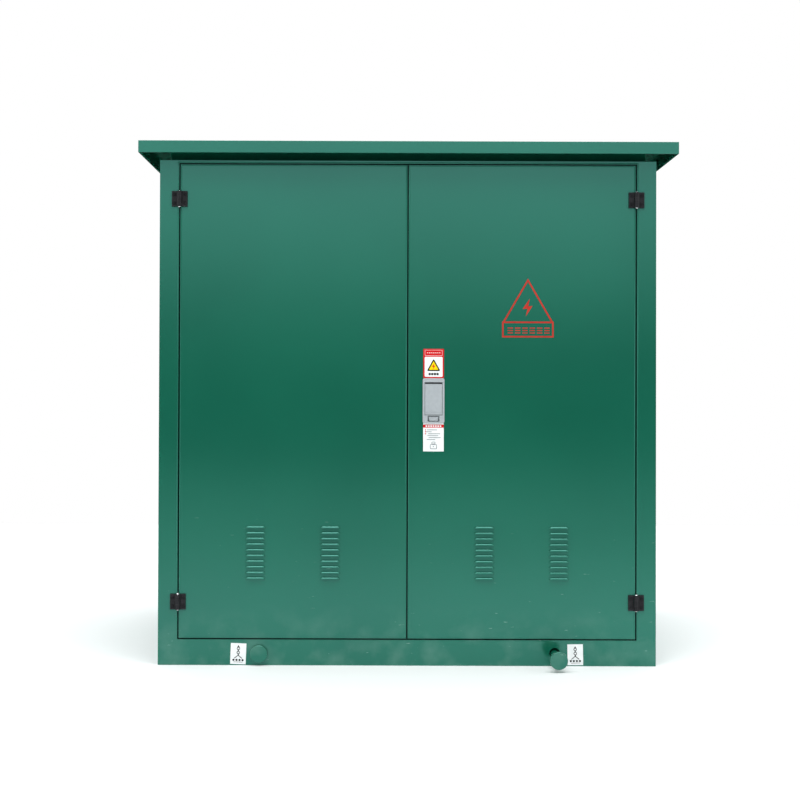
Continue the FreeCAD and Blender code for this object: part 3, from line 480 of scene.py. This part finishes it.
# Below the lock: a white sticker with a red band, rows of plain strokes and a padlock outline
def lowerSticker():
    sticker = {"width": 0.053, "height": 0.0725, "bandTop": 0.0035, "bandHeight": 0.0078,
               "blocks": 7, "blockPitch": 0.0060, "blockHalf": 0.0020, "blockGap": 0.002,
               "firstRow": 0.0058, "rowPitch": 0.0050, "rowHalf": 0.0009,
               "bullets": 3, "bulletIn": 0.0058, "bulletRadius": 0.0016, "lockLine": 0.0015,
               "bodyHalf": 0.0090, "bodyLow": 0.0060, "bodyHigh": 0.0185,
               "shackleHalf": 0.0050, "shackleHigh": 0.0250, "keyhole": 0.0014, "keyholeUp": 0.0125}
    rows = ((0.010, 0.026), (0.008, 0.014), (0.013, 0.031), (0.011, 0.028), (0.014, 0.031), (0.009, 0.022))
    white, red, grey = range(3)
    shape = bmesh.new()
    half = sticker["width"] / 2
    high, low = lockLow.z, lockLow.z - sticker["height"]
    addPlate(shape, rectangle(lockX - half, lockX + half, low, high), layer(0), layer(1), white)
    bandHigh = high - sticker["bandTop"]
    bandLow = bandHigh - sticker["bandHeight"]
    addPlate(shape, rectangle(lockX - half, lockX + half, bandLow, bandHigh), layer(1), layer(2), red)
    for n in range(sticker["blocks"]):
        x = lockX + sticker["blockPitch"] * (n - (sticker["blocks"] - 1) / 2)
        block = rectangle(x - sticker["blockHalf"], x + sticker["blockHalf"],
                          bandLow + sticker["blockGap"], bandHigh - sticker["blockGap"])
        addPlate(shape, rounded(block, 0.0006), layer(2), layer(3), white)
    for n, (start, length) in enumerate(rows):  # each row's start from the left edge, and its length
        z = bandLow - sticker["firstRow"] - sticker["rowPitch"] * n
        left = lockX - half + start
        stroke = rectangle(left, left + length, z - sticker["rowHalf"], z + sticker["rowHalf"])
        addPlate(shape, stroke, layer(1), layer(2), grey)
        if n < sticker["bullets"]:
            bullet = circle(lockX - half + sticker["bulletIn"], z, sticker["bulletRadius"], 12)
            addPlate(shape, bullet, layer(1), layer(2), red)
    wide, top = sticker["bodyHalf"], low + sticker["bodyHigh"]
    body = rounded(rectangle(lockX - wide, lockX + wide, low + sticker["bodyLow"], top), 0.0035)
    addRing(shape, body, inset(body, sticker["lockLine"]), layer(1), layer(2), grey)
    narrow = sticker["shackleHalf"]
    shackle = rounded(rectangle(lockX - narrow, lockX + narrow, top, low + sticker["shackleHigh"]), 0.0030)
    addRing(shape, shackle, inset(shackle, sticker["lockLine"]), layer(1), layer(2), grey)
    keyhole = circle(lockX, low + sticker["keyholeUp"], sticker["keyhole"], 12)
    addPlate(shape, keyhole, layer(1), layer(2), grey)
    inks = [prints["labelWhite"], prints["labelRed"], prints["labelGrey"]]
    return finishPiece("noticeSticker", shape, inks, "right_door")


# Beside a lifting pin: a chain under an arrow, spread to a sling over a row of dots
def liftingSticker(name, centreX, tilt):
    sticker = {"width": 0.0400, "height": 0.0535, "centreZ": 0.0295,
               "arrowHalf": 0.0030, "arrowLow": 0.0165, "arrowTip": 0.0220,
               "links": (0.0135, 0.0030), "linkRadius": 0.0042, "linkLine": 0.0017,
               "barHalf": 0.0013, "barLow": 0.0072, "barHigh": 0.0036,
               "slingTop": (0.0, -0.0040), "slingOut": 0.0098, "slingLow": -0.0118, "slingWide": 0.0018,
               "dots": 4, "dotPitch": 0.0078, "dotUp": -0.0162, "dotRadius": 0.0028,
               "groundHalf": 0.0115, "groundLow": -0.0218, "groundHigh": -0.0209}
    white, black = range(2)
    shape = bmesh.new()
    half, tall = sticker["width"] / 2, sticker["height"] / 2
    addPlate(shape, rectangle(-half, half, -tall, tall), layer(0), layer(1), white)
    arrow = [(-sticker["arrowHalf"], sticker["arrowLow"]), (sticker["arrowHalf"], sticker["arrowLow"]),
             (0.0, sticker["arrowTip"])]
    figure = [arrow]
    for z in sticker["links"]:
        link = circle(0.0, z, sticker["linkRadius"], 20)
        addRing(shape, link, inset(link, sticker["linkLine"]), layer(1), layer(2), black)
        figure.append(rectangle(-sticker["barHalf"], sticker["barHalf"],
                                z - sticker["barLow"], z - sticker["barHigh"]))
    for side in (-1, 1):
        addStroke(shape, sticker["slingTop"], (side * sticker["slingOut"], sticker["slingLow"]),
                  sticker["slingWide"], layer(1), layer(2), black)
    for n in range(sticker["dots"]):
        x = sticker["dotPitch"] * (n - (sticker["dots"] - 1) / 2)
        figure.append(circle(x, sticker["dotUp"], sticker["dotRadius"], 12))
    figure.append(rectangle(-sticker["groundHalf"], sticker["groundHalf"],
                            sticker["groundLow"], sticker["groundHigh"]))
    for outline in figure:
        addPlate(shape, outline, layer(1), layer(2), black)
    turn = Matrix.Rotation(math.radians(tilt), 4, "Y")
    place = Matrix.Translation(Vector((centreX, 0.0, sticker["centreZ"])))
    bmesh.ops.transform(shape, matrix=place @ turn, verts=shape.verts)
    return finishPiece(name, shape, [prints["labelWhite"], prints["labelBlack"]], "kiosk")


hazardSign()
upperSticker()
lowerSticker()
stickerOut = 0.433  # from the middle of the base rail
liftingSticker("liftingSticker_left", -stickerOut, 2.0)
liftingSticker("liftingSticker_right", stickerOut, -1.0)
print("stage: prints made")


# A Geometry Nodes tree with a named input for each size
def newTree(name, sizes):
    tree = bpy.data.node_groups.new(name, "GeometryNodeTree")
    tree.interface.new_socket(name="Geometry", in_out="INPUT", socket_type="NodeSocketGeometry")
    for label, value in sizes.items():
        socket = tree.interface.new_socket(name=label, in_out="INPUT", socket_type="NodeSocketFloat")
        socket.default_value = value
    tree.interface.new_socket(name="Geometry", in_out="OUTPUT", socket_type="NodeSocketGeometry")
    start = tree.nodes.new("NodeGroupInput")
    end = tree.nodes.new("NodeGroupOutput")
    return tree, start, end


# Keyword names are input sockets, with an underscore for each space
def makeNode(tree, kind, settings=None, **links):
    node = tree.nodes.new(kind)
    for label, value in (settings or {}).items():
        node.inputs[label].default_value = value
    for label, source in links.items():
        tree.links.new(source, node.inputs[label.replace("_", " ")])
    return node


def scaled(tree, source, factor):
    node = makeNode(tree, "ShaderNodeMath")
    node.operation = "MULTIPLY"
    tree.links.new(source, node.inputs[0])
    node.inputs[1].default_value = factor
    return node.outputs[0]


def closeTree(tree, end, geometry, material):
    real = makeNode(tree, "GeometryNodeRealizeInstances", Geometry=geometry)
    painted = makeNode(tree, "GeometryNodeSetMaterial", {"Material": material}, Geometry=real.outputs[0])
    tree.links.new(painted.outputs[0], end.inputs[0])


# The tree runs on a cloud of points, and its result is kept as a plain mesh
def runTree(name, tree, points, values, bodyName, place=None):
    mesh = bpy.data.meshes.new(name + "_points")
    mesh.from_pydata([tuple(point) for point in points], [], [])
    seed = bpy.data.objects.new(name + "_points", mesh)
    bpy.context.collection.objects.link(seed)
    modifier = seed.modifiers.new("nodes", "NODES")
    modifier.node_group = tree
    for socket in tree.interface.items_tree:
        if socket.item_type == "SOCKET" and socket.in_out == "INPUT" and socket.name in values:
            modifier[socket.identifier] = values[socket.name]
    graph = bpy.context.evaluated_depsgraph_get()
    made = bpy.data.meshes.new_from_object(seed.evaluated_get(graph), depsgraph=graph)
    made.name = name
    bpy.data.objects.remove(seed)
    if place is not None:
        made.transform(place)
    made.shade_smooth()
    made.set_sharp_from_angle(angle=math.radians(30))
    piece = bpy.data.objects.new(name, made)
    bpy.context.collection.objects.link(piece)
    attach(piece, bodyName)
    return piece


# Pan-head screws with a cross slot, turned to face the doors' side
def screwTree():
    sizes = {"Head Radius": 0.0038, "Head Height": 0.0016, "Slot Width": 0.0009}
    tree, start, end = newTree("panHeadScrews", sizes)
    taper = scaled(tree, start.outputs["Head Radius"], 0.72)
    head = makeNode(tree, "GeometryNodeMeshCone", {"Vertices": 20}, Radius_Top=taper,
                    Radius_Bottom=start.outputs["Head Radius"], Depth=start.outputs["Head Height"])
    bars = []
    for turned in (False, True):
        size = makeNode(tree, "ShaderNodeCombineXYZ")
        tree.links.new(start.outputs["Slot Width"], size.inputs[1 if turned else 0])
        tree.links.new(start.outputs["Head Radius"], size.inputs[0 if turned else 1])
        tree.links.new(start.outputs["Head Height"], size.inputs[2])
        cube = makeNode(tree, "GeometryNodeMeshCube", Size=size.outputs[0])
        lift = makeNode(tree, "ShaderNodeCombineXYZ")
        tree.links.new(start.outputs["Head Height"], lift.inputs[2])
        bars.append(makeNode(tree, "GeometryNodeTransform", Geometry=cube.outputs[0],
                             Translation=lift.outputs[0]))
    cut = makeNode(tree, "GeometryNodeMeshBoolean")
    cut.operation = "DIFFERENCE"
    tree.links.new(head.outputs["Mesh"], cut.inputs["Mesh 1"])
    for bar in bars:
        tree.links.new(bar.outputs[0], cut.inputs["Mesh 2"])
    spread = makeNode(tree, "GeometryNodeInstanceOnPoints", {"Rotation": (math.pi / 2, 0, 0)},
                      Points=start.outputs["Geometry"], Instance=cut.outputs[0])
    return tree, end, spread.outputs[0]


def screws(name, points, radius, materialName, bodyName):
    tree, end, geometry = screwTree()
    closeTree(tree, end, geometry, finishes[materialName])
    values = {"Head Radius": radius, "Head Height": radius * 0.45, "Slot Width": radius * 0.24}
    return runTree(name, tree, points, values, bodyName)


# Two screws in each hinge leaf, either side of the barrel
def hingeScrews():
    hinge = {"screwUp": 0.011, "screwOut": 0.0135, "radius": 0.0039, "seat": 0.0046, "leafMiddle": 0.0200,
             "pinRadius": 0.0042}
    low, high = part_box("hinge_frame_leaves")
    middles = (low.z + hinge["leafMiddle"], high.z - hinge["leafMiddle"])
    heights = [z + sign * hinge["screwUp"] for z in middles for sign in (-1, 1)]
    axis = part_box("hinge_pins")[1].x - hinge["pinRadius"]
    frameX, doorX = axis + hinge["screwOut"], axis - hinge["screwOut"]
    groups = {"kiosk": (-frameX, frameX), "left_door": (-doorX,), "right_door": (doorX,)}
    for bodyName, places in groups.items():
        points = [(x, faceY - hinge["seat"], z) for x in places for z in heights]
        screws("hingeScrews_" + bodyName, points, hinge["radius"], "black_hinge", bodyName)


# Screws down both sides and along the top of the bulkhead
def bulkheadScrews():
    wall = {"radius": 0.006, "side": 0.03, "ends": 0.05, "rows": 10, "top": 0.03, "corners": 0.1,
            "columns": 12}
    low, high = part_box("bulkhead")
    rise = (high.z - low.z - 2 * wall["ends"]) / (wall["rows"] - 1)
    step = (high.x - low.x - 2 * wall["corners"]) / (wall["columns"] - 1)
    heights = [low.z + wall["ends"] + n * rise for n in range(wall["rows"])]
    points = [(x, low.y, z) for x in (low.x + wall["side"], high.x - wall["side"]) for z in heights]
    across = [low.x + wall["corners"] + n * step for n in range(wall["columns"])]
    points += [(x, low.y, high.z - wall["top"]) for x in across]
    screws("bulkheadScrews", points, wall["radius"], "zinc_fasteners", "kiosk")


# Woven wire: a row of upright wires and a row of level ones
def wireTree():
    sizes = {"Length": 1.2, "Height": 0.02, "Pitch": 0.005, "Wire Radius": 0.0005}
    tree, start, end = newTree("wovenWire", sizes)

    def wireRow(span, wire, alongX):
        count = makeNode(tree, "ShaderNodeMath")
        count.operation = "DIVIDE"
        tree.links.new(start.outputs[span], count.inputs[0])
        tree.links.new(start.outputs["Pitch"], count.inputs[1])
        first = makeNode(tree, "ShaderNodeCombineXYZ")
        step = makeNode(tree, "ShaderNodeCombineXYZ")
        slot = 0 if alongX else 2
        tree.links.new(scaled(tree, start.outputs[span], -0.5), first.inputs[slot])
        tree.links.new(start.outputs["Pitch"], step.inputs[slot])
        line = makeNode(tree, "GeometryNodeMeshLine", Count=count.outputs[0])
        tree.links.new(first.outputs[0], line.inputs["Start Location"])
        tree.links.new(step.outputs[0], line.inputs["Offset"])
        rod = makeNode(tree, "GeometryNodeMeshCylinder", {"Vertices": 6},
                       Radius=start.outputs["Wire Radius"], Depth=start.outputs[wire])
        turn = (0, 0, 0) if alongX else (0, math.pi / 2, 0)
        return makeNode(tree, "GeometryNodeInstanceOnPoints", {"Rotation": turn},
                        Points=line.outputs[0], Instance=rod.outputs["Mesh"])

    both = makeNode(tree, "GeometryNodeJoinGeometry")
    for row in (wireRow("Length", "Height", True), wireRow("Height", "Length", False)):
        tree.links.new(row.outputs[0], both.inputs[0])
    return tree, end, both.outputs[0]


# One mesh just inside each wall of the roof neck, where the vent slots are
def ventWire():
    wire = {"pitch": 0.006, "radius": 0.0005, "low": 1.3115, "high": 1.3290, "behind": 0.0006,
            "neckFlange": 0.023, "neckSheet": 0.002, "longSide": 1.16, "shortSide": 0.80}
    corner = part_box("roof_neck")[1]
    inwards = wire["neckFlange"] + wire["neckSheet"] + wire["behind"]
    out, back = corner.x - inwards, corner.y - inwards
    middle = (wire["low"] + wire["high"]) / 2
    sides = {"front": (wire["longSide"], (0, -back, middle), 0),
             "back": (wire["longSide"], (0, back, middle), 0),
             "left": (wire["shortSide"], (-out, 0, middle), 90),
             "right": (wire["shortSide"], (out, 0, middle), 90)}
    for name, (length, place, turn) in sides.items():
        tree, end, geometry = wireTree()
        closeTree(tree, end, geometry, finishes["galvanised_steel"])
        values = {"Length": length, "Height": wire["high"] - wire["low"], "Pitch": wire["pitch"],
                  "Wire Radius": wire["radius"]}
        put = Matrix.Translation(place) @ Matrix.Rotation(math.radians(turn), 4, "Z")
        runTree("ventWire_" + name, tree, [(0, 0, 0)], values, "kiosk", put)


hingeScrews()
bulkheadScrews()
ventWire()
print("stage: repeated hardware made")


# A rubber bulb section swept round a door's rear lip
def doorSeal(nodeName):
    seal = {"width": 0.0100, "corner": 0.010, "around": 14, "crown": 0.86}
    low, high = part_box(nodeName)
    inner = seal["width"] / 2
    path = rounded(rectangle(low.x + inner, high.x - inner, low.z + inner, high.z - inner), seal["corner"], 6)
    depth = high.y - low.y
    shape = bmesh.new()
    rings = []
    for n, (x, z) in enumerate(path):
        before, after = Vector(path[n - 1]), Vector(path[(n + 1) % len(path)])
        along = (after - before).normalized()
        out = Vector((along.y, -along.x))
        ring = []
        for k in range(seal["around"]):
            angle = 2 * math.pi * k / seal["around"]
            side, rise = math.cos(angle) * inner, math.sin(angle)
            if rise < 0:  # the flatter half that sits on the lip
                up = depth * 0.5 * (1 + rise ** 3)
            else:
                side = side * seal["crown"]
                up = depth * (0.5 + 0.5 * rise)
            ring.append(shape.verts.new((x + out.x * side, low.y + up, z + out.y * side)))
        rings.append(ring)
    for n, ring in enumerate(rings):
        following = rings[(n + 1) % len(rings)]
        for k in range(len(ring)):
            m = (k + 1) % len(ring)
            shape.faces.new((ring[k], ring[m], following[m], following[k]))
    bmesh.ops.recalc_face_normals(shape, faces=shape.faces)
    piece = finishPiece("bulb_" + nodeName, shape, [finishes["rubber"]], bodyOf[nodeName])
    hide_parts(nodeName)


# Paint built up over the rounded edge of folded sheet; grow is 1 on a panel's edge, -1 round a hole
def edgeRoll(name, outline, grow, bodyName):
    profile = ((-0.0001, 0.0018), (0.0003, 0.0004), (0.0012, -0.0004), (0.0022, -0.0005), (0.0036, 0.0))
    shape = bmesh.new()
    loops = []
    for inwards, depth in profile:
        loops.append([shape.verts.new((x, faceY + depth, z)) for x, z in inset(outline, grow * inwards)])
    for first, second in zip(loops, loops[1:]):
        for n in range(len(first)):
            m = (n + 1) % len(first)
            corners = (first[n], first[m], second[m], second[n])
            shape.faces.new(corners if grow < 0 else corners[::-1])
    finishPiece(name, shape, [finishes["green_paint"]], bodyName, 60)


leftDoorLow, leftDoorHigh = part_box("left_door")
rightDoorLow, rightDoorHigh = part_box("right_door")
doorGap = 0.0035
doorOpening = rectangle(leftDoorLow.x - doorGap, rightDoorHigh.x + doorGap,
                        leftDoorLow.z - doorGap, rightDoorHigh.z + doorGap)


def edgeRolls():
    for bodyName, low, high in (("left_door", leftDoorLow, leftDoorHigh),
                                ("right_door", rightDoorLow, rightDoorHigh)):
        edgeRoll("edgeRoll_" + bodyName, rectangle(low.x, high.x, low.z, high.z), 1, bodyName)
    edgeRoll("edgeRoll_opening", doorOpening, -1, "kiosk")


# Painted shade: black sheets on the rebate's walls, on its landing and behind the doors' meeting, standing in
# for the shadow that darkens the gaps round the doors
def rebateShadeSheets():
    shadeSheet = {"thick": 0.0003, "fromFace": 0.0020, "landing": 0.0295, "landingShadeDepth": 0.0030, "reach": 0.0055,
              "middle": 0.0040}
    back, front = faceY + shadeSheet["landing"], faceY + shadeSheet["fromFace"]
    shadeFront = back - shadeSheet["landingShadeDepth"]
    shape = bmesh.new()
    wall = inset(doorOpening, shadeSheet["thick"])
    # painted shade: black sheets where the door gaps would fall into shadow
    addRing(shape, doorOpening, wall, back, front)
    addRing(shape, wall, inset(doorOpening, shadeSheet["reach"]), back, shadeFront)
    low, high = doorOpening[0][1] + shadeSheet["reach"], doorOpening[2][1] - shadeSheet["reach"]
    addPlate(shape, rectangle(-shadeSheet["middle"], shadeSheet["middle"], low, high), back, shadeFront)
    finishPiece("rebateShadeSheets", shape, [finishes["rubber"]], "kiosk")


edgeRolls()
rebateShadeSheets()
doorSeal("left_door_seal")
doorSeal("right_door_seal")
print("stage: seals and edges made")


# The oil gauge's scale: a white disc with ticks, a needle and its hub
def dial():
    gauge = {"inFromFront": 0.0195, "radius": 0.0315, "thick": 0.0006, "ticks": 21, "firstAngle": -135,
             "tickAngle": 13.5, "longFrom": 0.0225, "shortFrom": 0.0255, "tickTo": 0.0285, "tickWide": 0.0009,
             "tickFront": 0.0009, "needleTip": (0.017, 0.013), "needleTail": (-0.005, -0.004),
             "needleWide": 0.0016, "needleBack": 0.0016, "needleFront": 0.0024,
             "hubRadius": 0.0034, "hubFront": 0.0028}
    white, black, red = range(3)
    low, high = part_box("oil_level_gauge")
    centre = Vector(((low.x + high.x) / 2, (low.z + high.z) / 2))
    y = low.y + gauge["inFromFront"]
    faceFront = y - gauge["thick"]
    shape = bmesh.new()
    addPlate(shape, circle(centre.x, centre.y, gauge["radius"], 40), y, faceFront, white)
    for n in range(gauge["ticks"]):
        angle = math.radians(gauge["firstAngle"] + gauge["tickAngle"] * n)
        aim = Vector((math.sin(angle), math.cos(angle)))
        inner = gauge["longFrom"] if n % 5 == 0 else gauge["shortFrom"]
        addStroke(shape, centre + aim * inner, centre + aim * gauge["tickTo"], gauge["tickWide"],
                  faceFront, y - gauge["tickFront"], black)
    addStroke(shape, centre + Vector(gauge["needleTail"]), centre + Vector(gauge["needleTip"]),
              gauge["needleWide"], y - gauge["needleBack"], y - gauge["needleFront"], red)
    hub = circle(centre.x, centre.y, gauge["hubRadius"], 16)
    addPlate(shape, hub, faceFront, y - gauge["hubFront"], black)
    inks = [prints["labelWhite"], prints["labelBlack"], prints["labelRed"]]
    finishPiece("gaugeDial", shape, inks, "kiosk")


# A blank plate on the tank's front, ruled into rows and columns
def ratingPlate():
    plate = {"x": -0.055, "z": 0.335, "half": 0.060, "tall": 0.040, "corner": 0.005, "thick": 0.0012,
             "borderIn": 0.003, "borderLine": 0.0008, "ink": 0.0003, "lineHalf": 0.0003,
             "rows": 7, "firstRow": 0.014, "rowPitch": 0.0088, "rowHalf": 0.050,
             "columns": (-0.012, 0.022), "columnDown": 0.033, "columnUp": 0.026, "columnInk": 0.0002}
    steel, black = range(2)
    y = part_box("hv_bushings")[1].y
    face = y - plate["thick"]
    inked = face - plate["ink"]
    shape = bmesh.new()
    outline = rounded(rectangle(plate["x"] - plate["half"], plate["x"] + plate["half"],
                                plate["z"] - plate["tall"], plate["z"] + plate["tall"]), plate["corner"])
    addPlate(shape, outline, y, face, steel)
    border = inset(outline, plate["borderIn"])
    addRing(shape, border, inset(outline, plate["borderIn"] + plate["borderLine"]), face, inked, black)
    for n in range(plate["rows"]):
        z = plate["z"] + plate["tall"] - plate["firstRow"] - plate["rowPitch"] * n
        row = rectangle(plate["x"] - plate["rowHalf"], plate["x"] + plate["rowHalf"],
                        z - plate["lineHalf"], z + plate["lineHalf"])
        addPlate(shape, row, face, inked, black)
    for column in plate["columns"]:
        x = plate["x"] + column
        rule = rectangle(x - plate["lineHalf"], x + plate["lineHalf"],
                         plate["z"] - plate["columnDown"], plate["z"] + plate["columnUp"])
        addPlate(shape, rule, inked, inked - plate["columnInk"], black)
    finishPiece("ratingPlate", shape, [finishes["bright_pin"], prints["labelBlack"]], "kiosk")


dial()
ratingPlate()
print("stage: compartment details made")


# A pale floor, painted darker far in front of the doors so that their paint mirrors a soft gradient: a
# painted shade on the floor
def studio():
    ground = {"side": 9.0, "front": -9.0, "back": 3.2, "bright": -1.15, "dim": -3.2, "roughness": 0.75,
              "tone": "#f6f6f5", "near": "#e9eaea", "far": "#aeb0b0", "farLighter": "#b2b4b4",
              "patchScale": 0.8}
    material, tree, shader, coords = startMaterial("paleFloor", ground["tone"], ground["roughness"])
    parts = tree.nodes.new("ShaderNodeSeparateXYZ")
    tree.links.new(coords, parts.inputs[0])
    # painted shade: the floor's colour darkens away from the doors, for the doors' paint to mirror
    near = remap(tree, parts.outputs["Y"], ground["dim"], ground["bright"], 0.0, 1.0)
    patches = noise(tree, coords, ground["patchScale"], 2.0)
    far = blendColour(tree, shader, patches, ground["far"], ground["farLighter"])
    blendColour(tree, shader, near, far, ground["near"])
    mesh = bpy.data.meshes.new("floor")
    side, front, back = ground["side"], ground["front"], ground["back"]
    corners = [(-side, front, 0), (side, front, 0), (side, back, 0), (-side, back, 0)]
    mesh.from_pydata(corners, [], [(0, 1, 2, 3)])
    mesh.materials.append(material)
    floor = bpy.data.objects.new("floor", mesh)
    bpy.context.collection.objects.link(floor)


# The paint mirrors this sky: dark at the horizon, bright above it, paler at the sides
def world():
    sky = {"seen": (1.0, 1.0, 1.0, 1.0), "cool": (0.94, 0.985, 1.0), "sideLevel": 1.0,
           "sideFrom": 0.35, "sideFull": 0.75,
           "stops": ((0.0, 0.0), (0.04, 0.02), (0.115, 1.25), (0.16, 1.75),
                     (0.34, 0.45), (0.7, 0.42), (0.86, 1.3))}  # height of the direction, and its level
    made = bpy.data.worlds.new("studioWorld")
    bpy.context.scene.world = made
    made.use_nodes = True
    tree = made.node_tree
    background = tree.nodes["Background"]
    direction = tree.nodes.new("ShaderNodeTexCoord").outputs["Generated"]
    parts = tree.nodes.new("ShaderNodeSeparateXYZ")
    tree.links.new(direction, parts.inputs[0])
    ramp = tree.nodes.new("ShaderNodeValToRGB")
    tree.links.new(parts.outputs["Z"], ramp.inputs["Fac"])
    while len(ramp.color_ramp.elements) < len(sky["stops"]):
        ramp.color_ramp.elements.new(0.5)
    for element, (place, level) in zip(ramp.color_ramp.elements, sky["stops"]):
        element.position = place
        element.color = (*[level * tint for tint in sky["cool"]], 1.0)
    across = tree.nodes.new("ShaderNodeMath")
    across.operation = "ABSOLUTE"
    tree.links.new(parts.outputs["X"], across.inputs[0])
    sides = tree.nodes.new("ShaderNodeMix")
    sides.data_type = "RGBA"
    sides.blend_type = "LIGHTEN"
    sides.inputs["Factor"].default_value = 1.0
    tree.links.new(ramp.outputs["Color"], sides.inputs[6])
    paler = remap(tree, across.outputs[0], sky["sideFrom"], sky["sideFull"], 0.0, sky["sideLevel"])
    tree.links.new(paler, sides.inputs[7])
    seenMix = tree.nodes.new("ShaderNodeMix")
    seenMix.data_type = "RGBA"
    path = tree.nodes.new("ShaderNodeLightPath")
    tree.links.new(path.outputs["Is Camera Ray"], seenMix.inputs["Factor"])
    tree.links.new(sides.outputs[2], seenMix.inputs[6])
    seenMix.inputs[7].default_value = sky["seen"]
    tree.links.new(seenMix.outputs[2], background.inputs["Color"])


def areaLight(name, place, aim, width, height, power):
    data = bpy.data.lights.new(name, "AREA")
    data.shape = "RECTANGLE"
    data.size = width
    data.size_y = height
    data.energy = power
    light = bpy.data.objects.new(name, data)
    bpy.context.collection.objects.link(light)
    light.location = place
    light.rotation_euler = (Vector(aim) - Vector(place)).to_track_quat("-Z", "Y").to_euler()


# Each lamp's place, aim, width, height and power
def lights():
    lamps = {"keyFront": ((-1.4, -5.4, 4.4), (0, -0.5, 0.7), 3.6, 1.8, 60),
             "topFront": ((0.2, -2.3, 4.9), (0, -0.5, 0.5), 4.2, 2.2, 150),
             "topSoft": ((0, 1.6, 5.2), (0, 0.6, 0), 4.0, 3.0, 70),
             "rearFill": ((0.5, 6.0, 3.8), (0, 0.5, 0.7), 4.5, 2.4, 90),
             "leftFill": ((-5.5, -1.0, 2.6), (0, 0, 0.7), 3.0, 3.0, 30),
             "rightFill": ((5.5, -1.0, 2.6), (0, 0, 0.7), 3.0, 3.0, 30)}
    for name, (place, aim, width, height, power) in lamps.items():
        areaLight(name, place, aim, width, height, power)


def camera():
    shot = {"place": (-0.070, -4.100, 0.709), "lens": 62.91, "sensor": 36.0, "shiftX": 0.02449,
            "shiftY": -0.03123, "pitch": 90.6, "roll": 0.185}
    data = bpy.data.cameras.new("camera")
    data.lens = shot["lens"]
    data.sensor_width = shot["sensor"]
    data.shift_x = shot["shiftX"]
    data.shift_y = shot["shiftY"]
    made = bpy.data.objects.new("camera", data)
    bpy.context.collection.objects.link(made)
    pitch = Matrix.Rotation(math.radians(shot["pitch"]), 4, "X")
    roll = Matrix.Rotation(math.radians(shot["roll"]), 4, "Z")
    made.matrix_world = Matrix.Translation(shot["place"]) @ pitch @ roll
    bpy.context.scene.camera = made


studio()
world()
lights()
camera()
bpy.context.scene.view_settings.view_transform = "Standard"
bpy.context.scene.view_settings.look = "None"
print("stage: set and camera made")
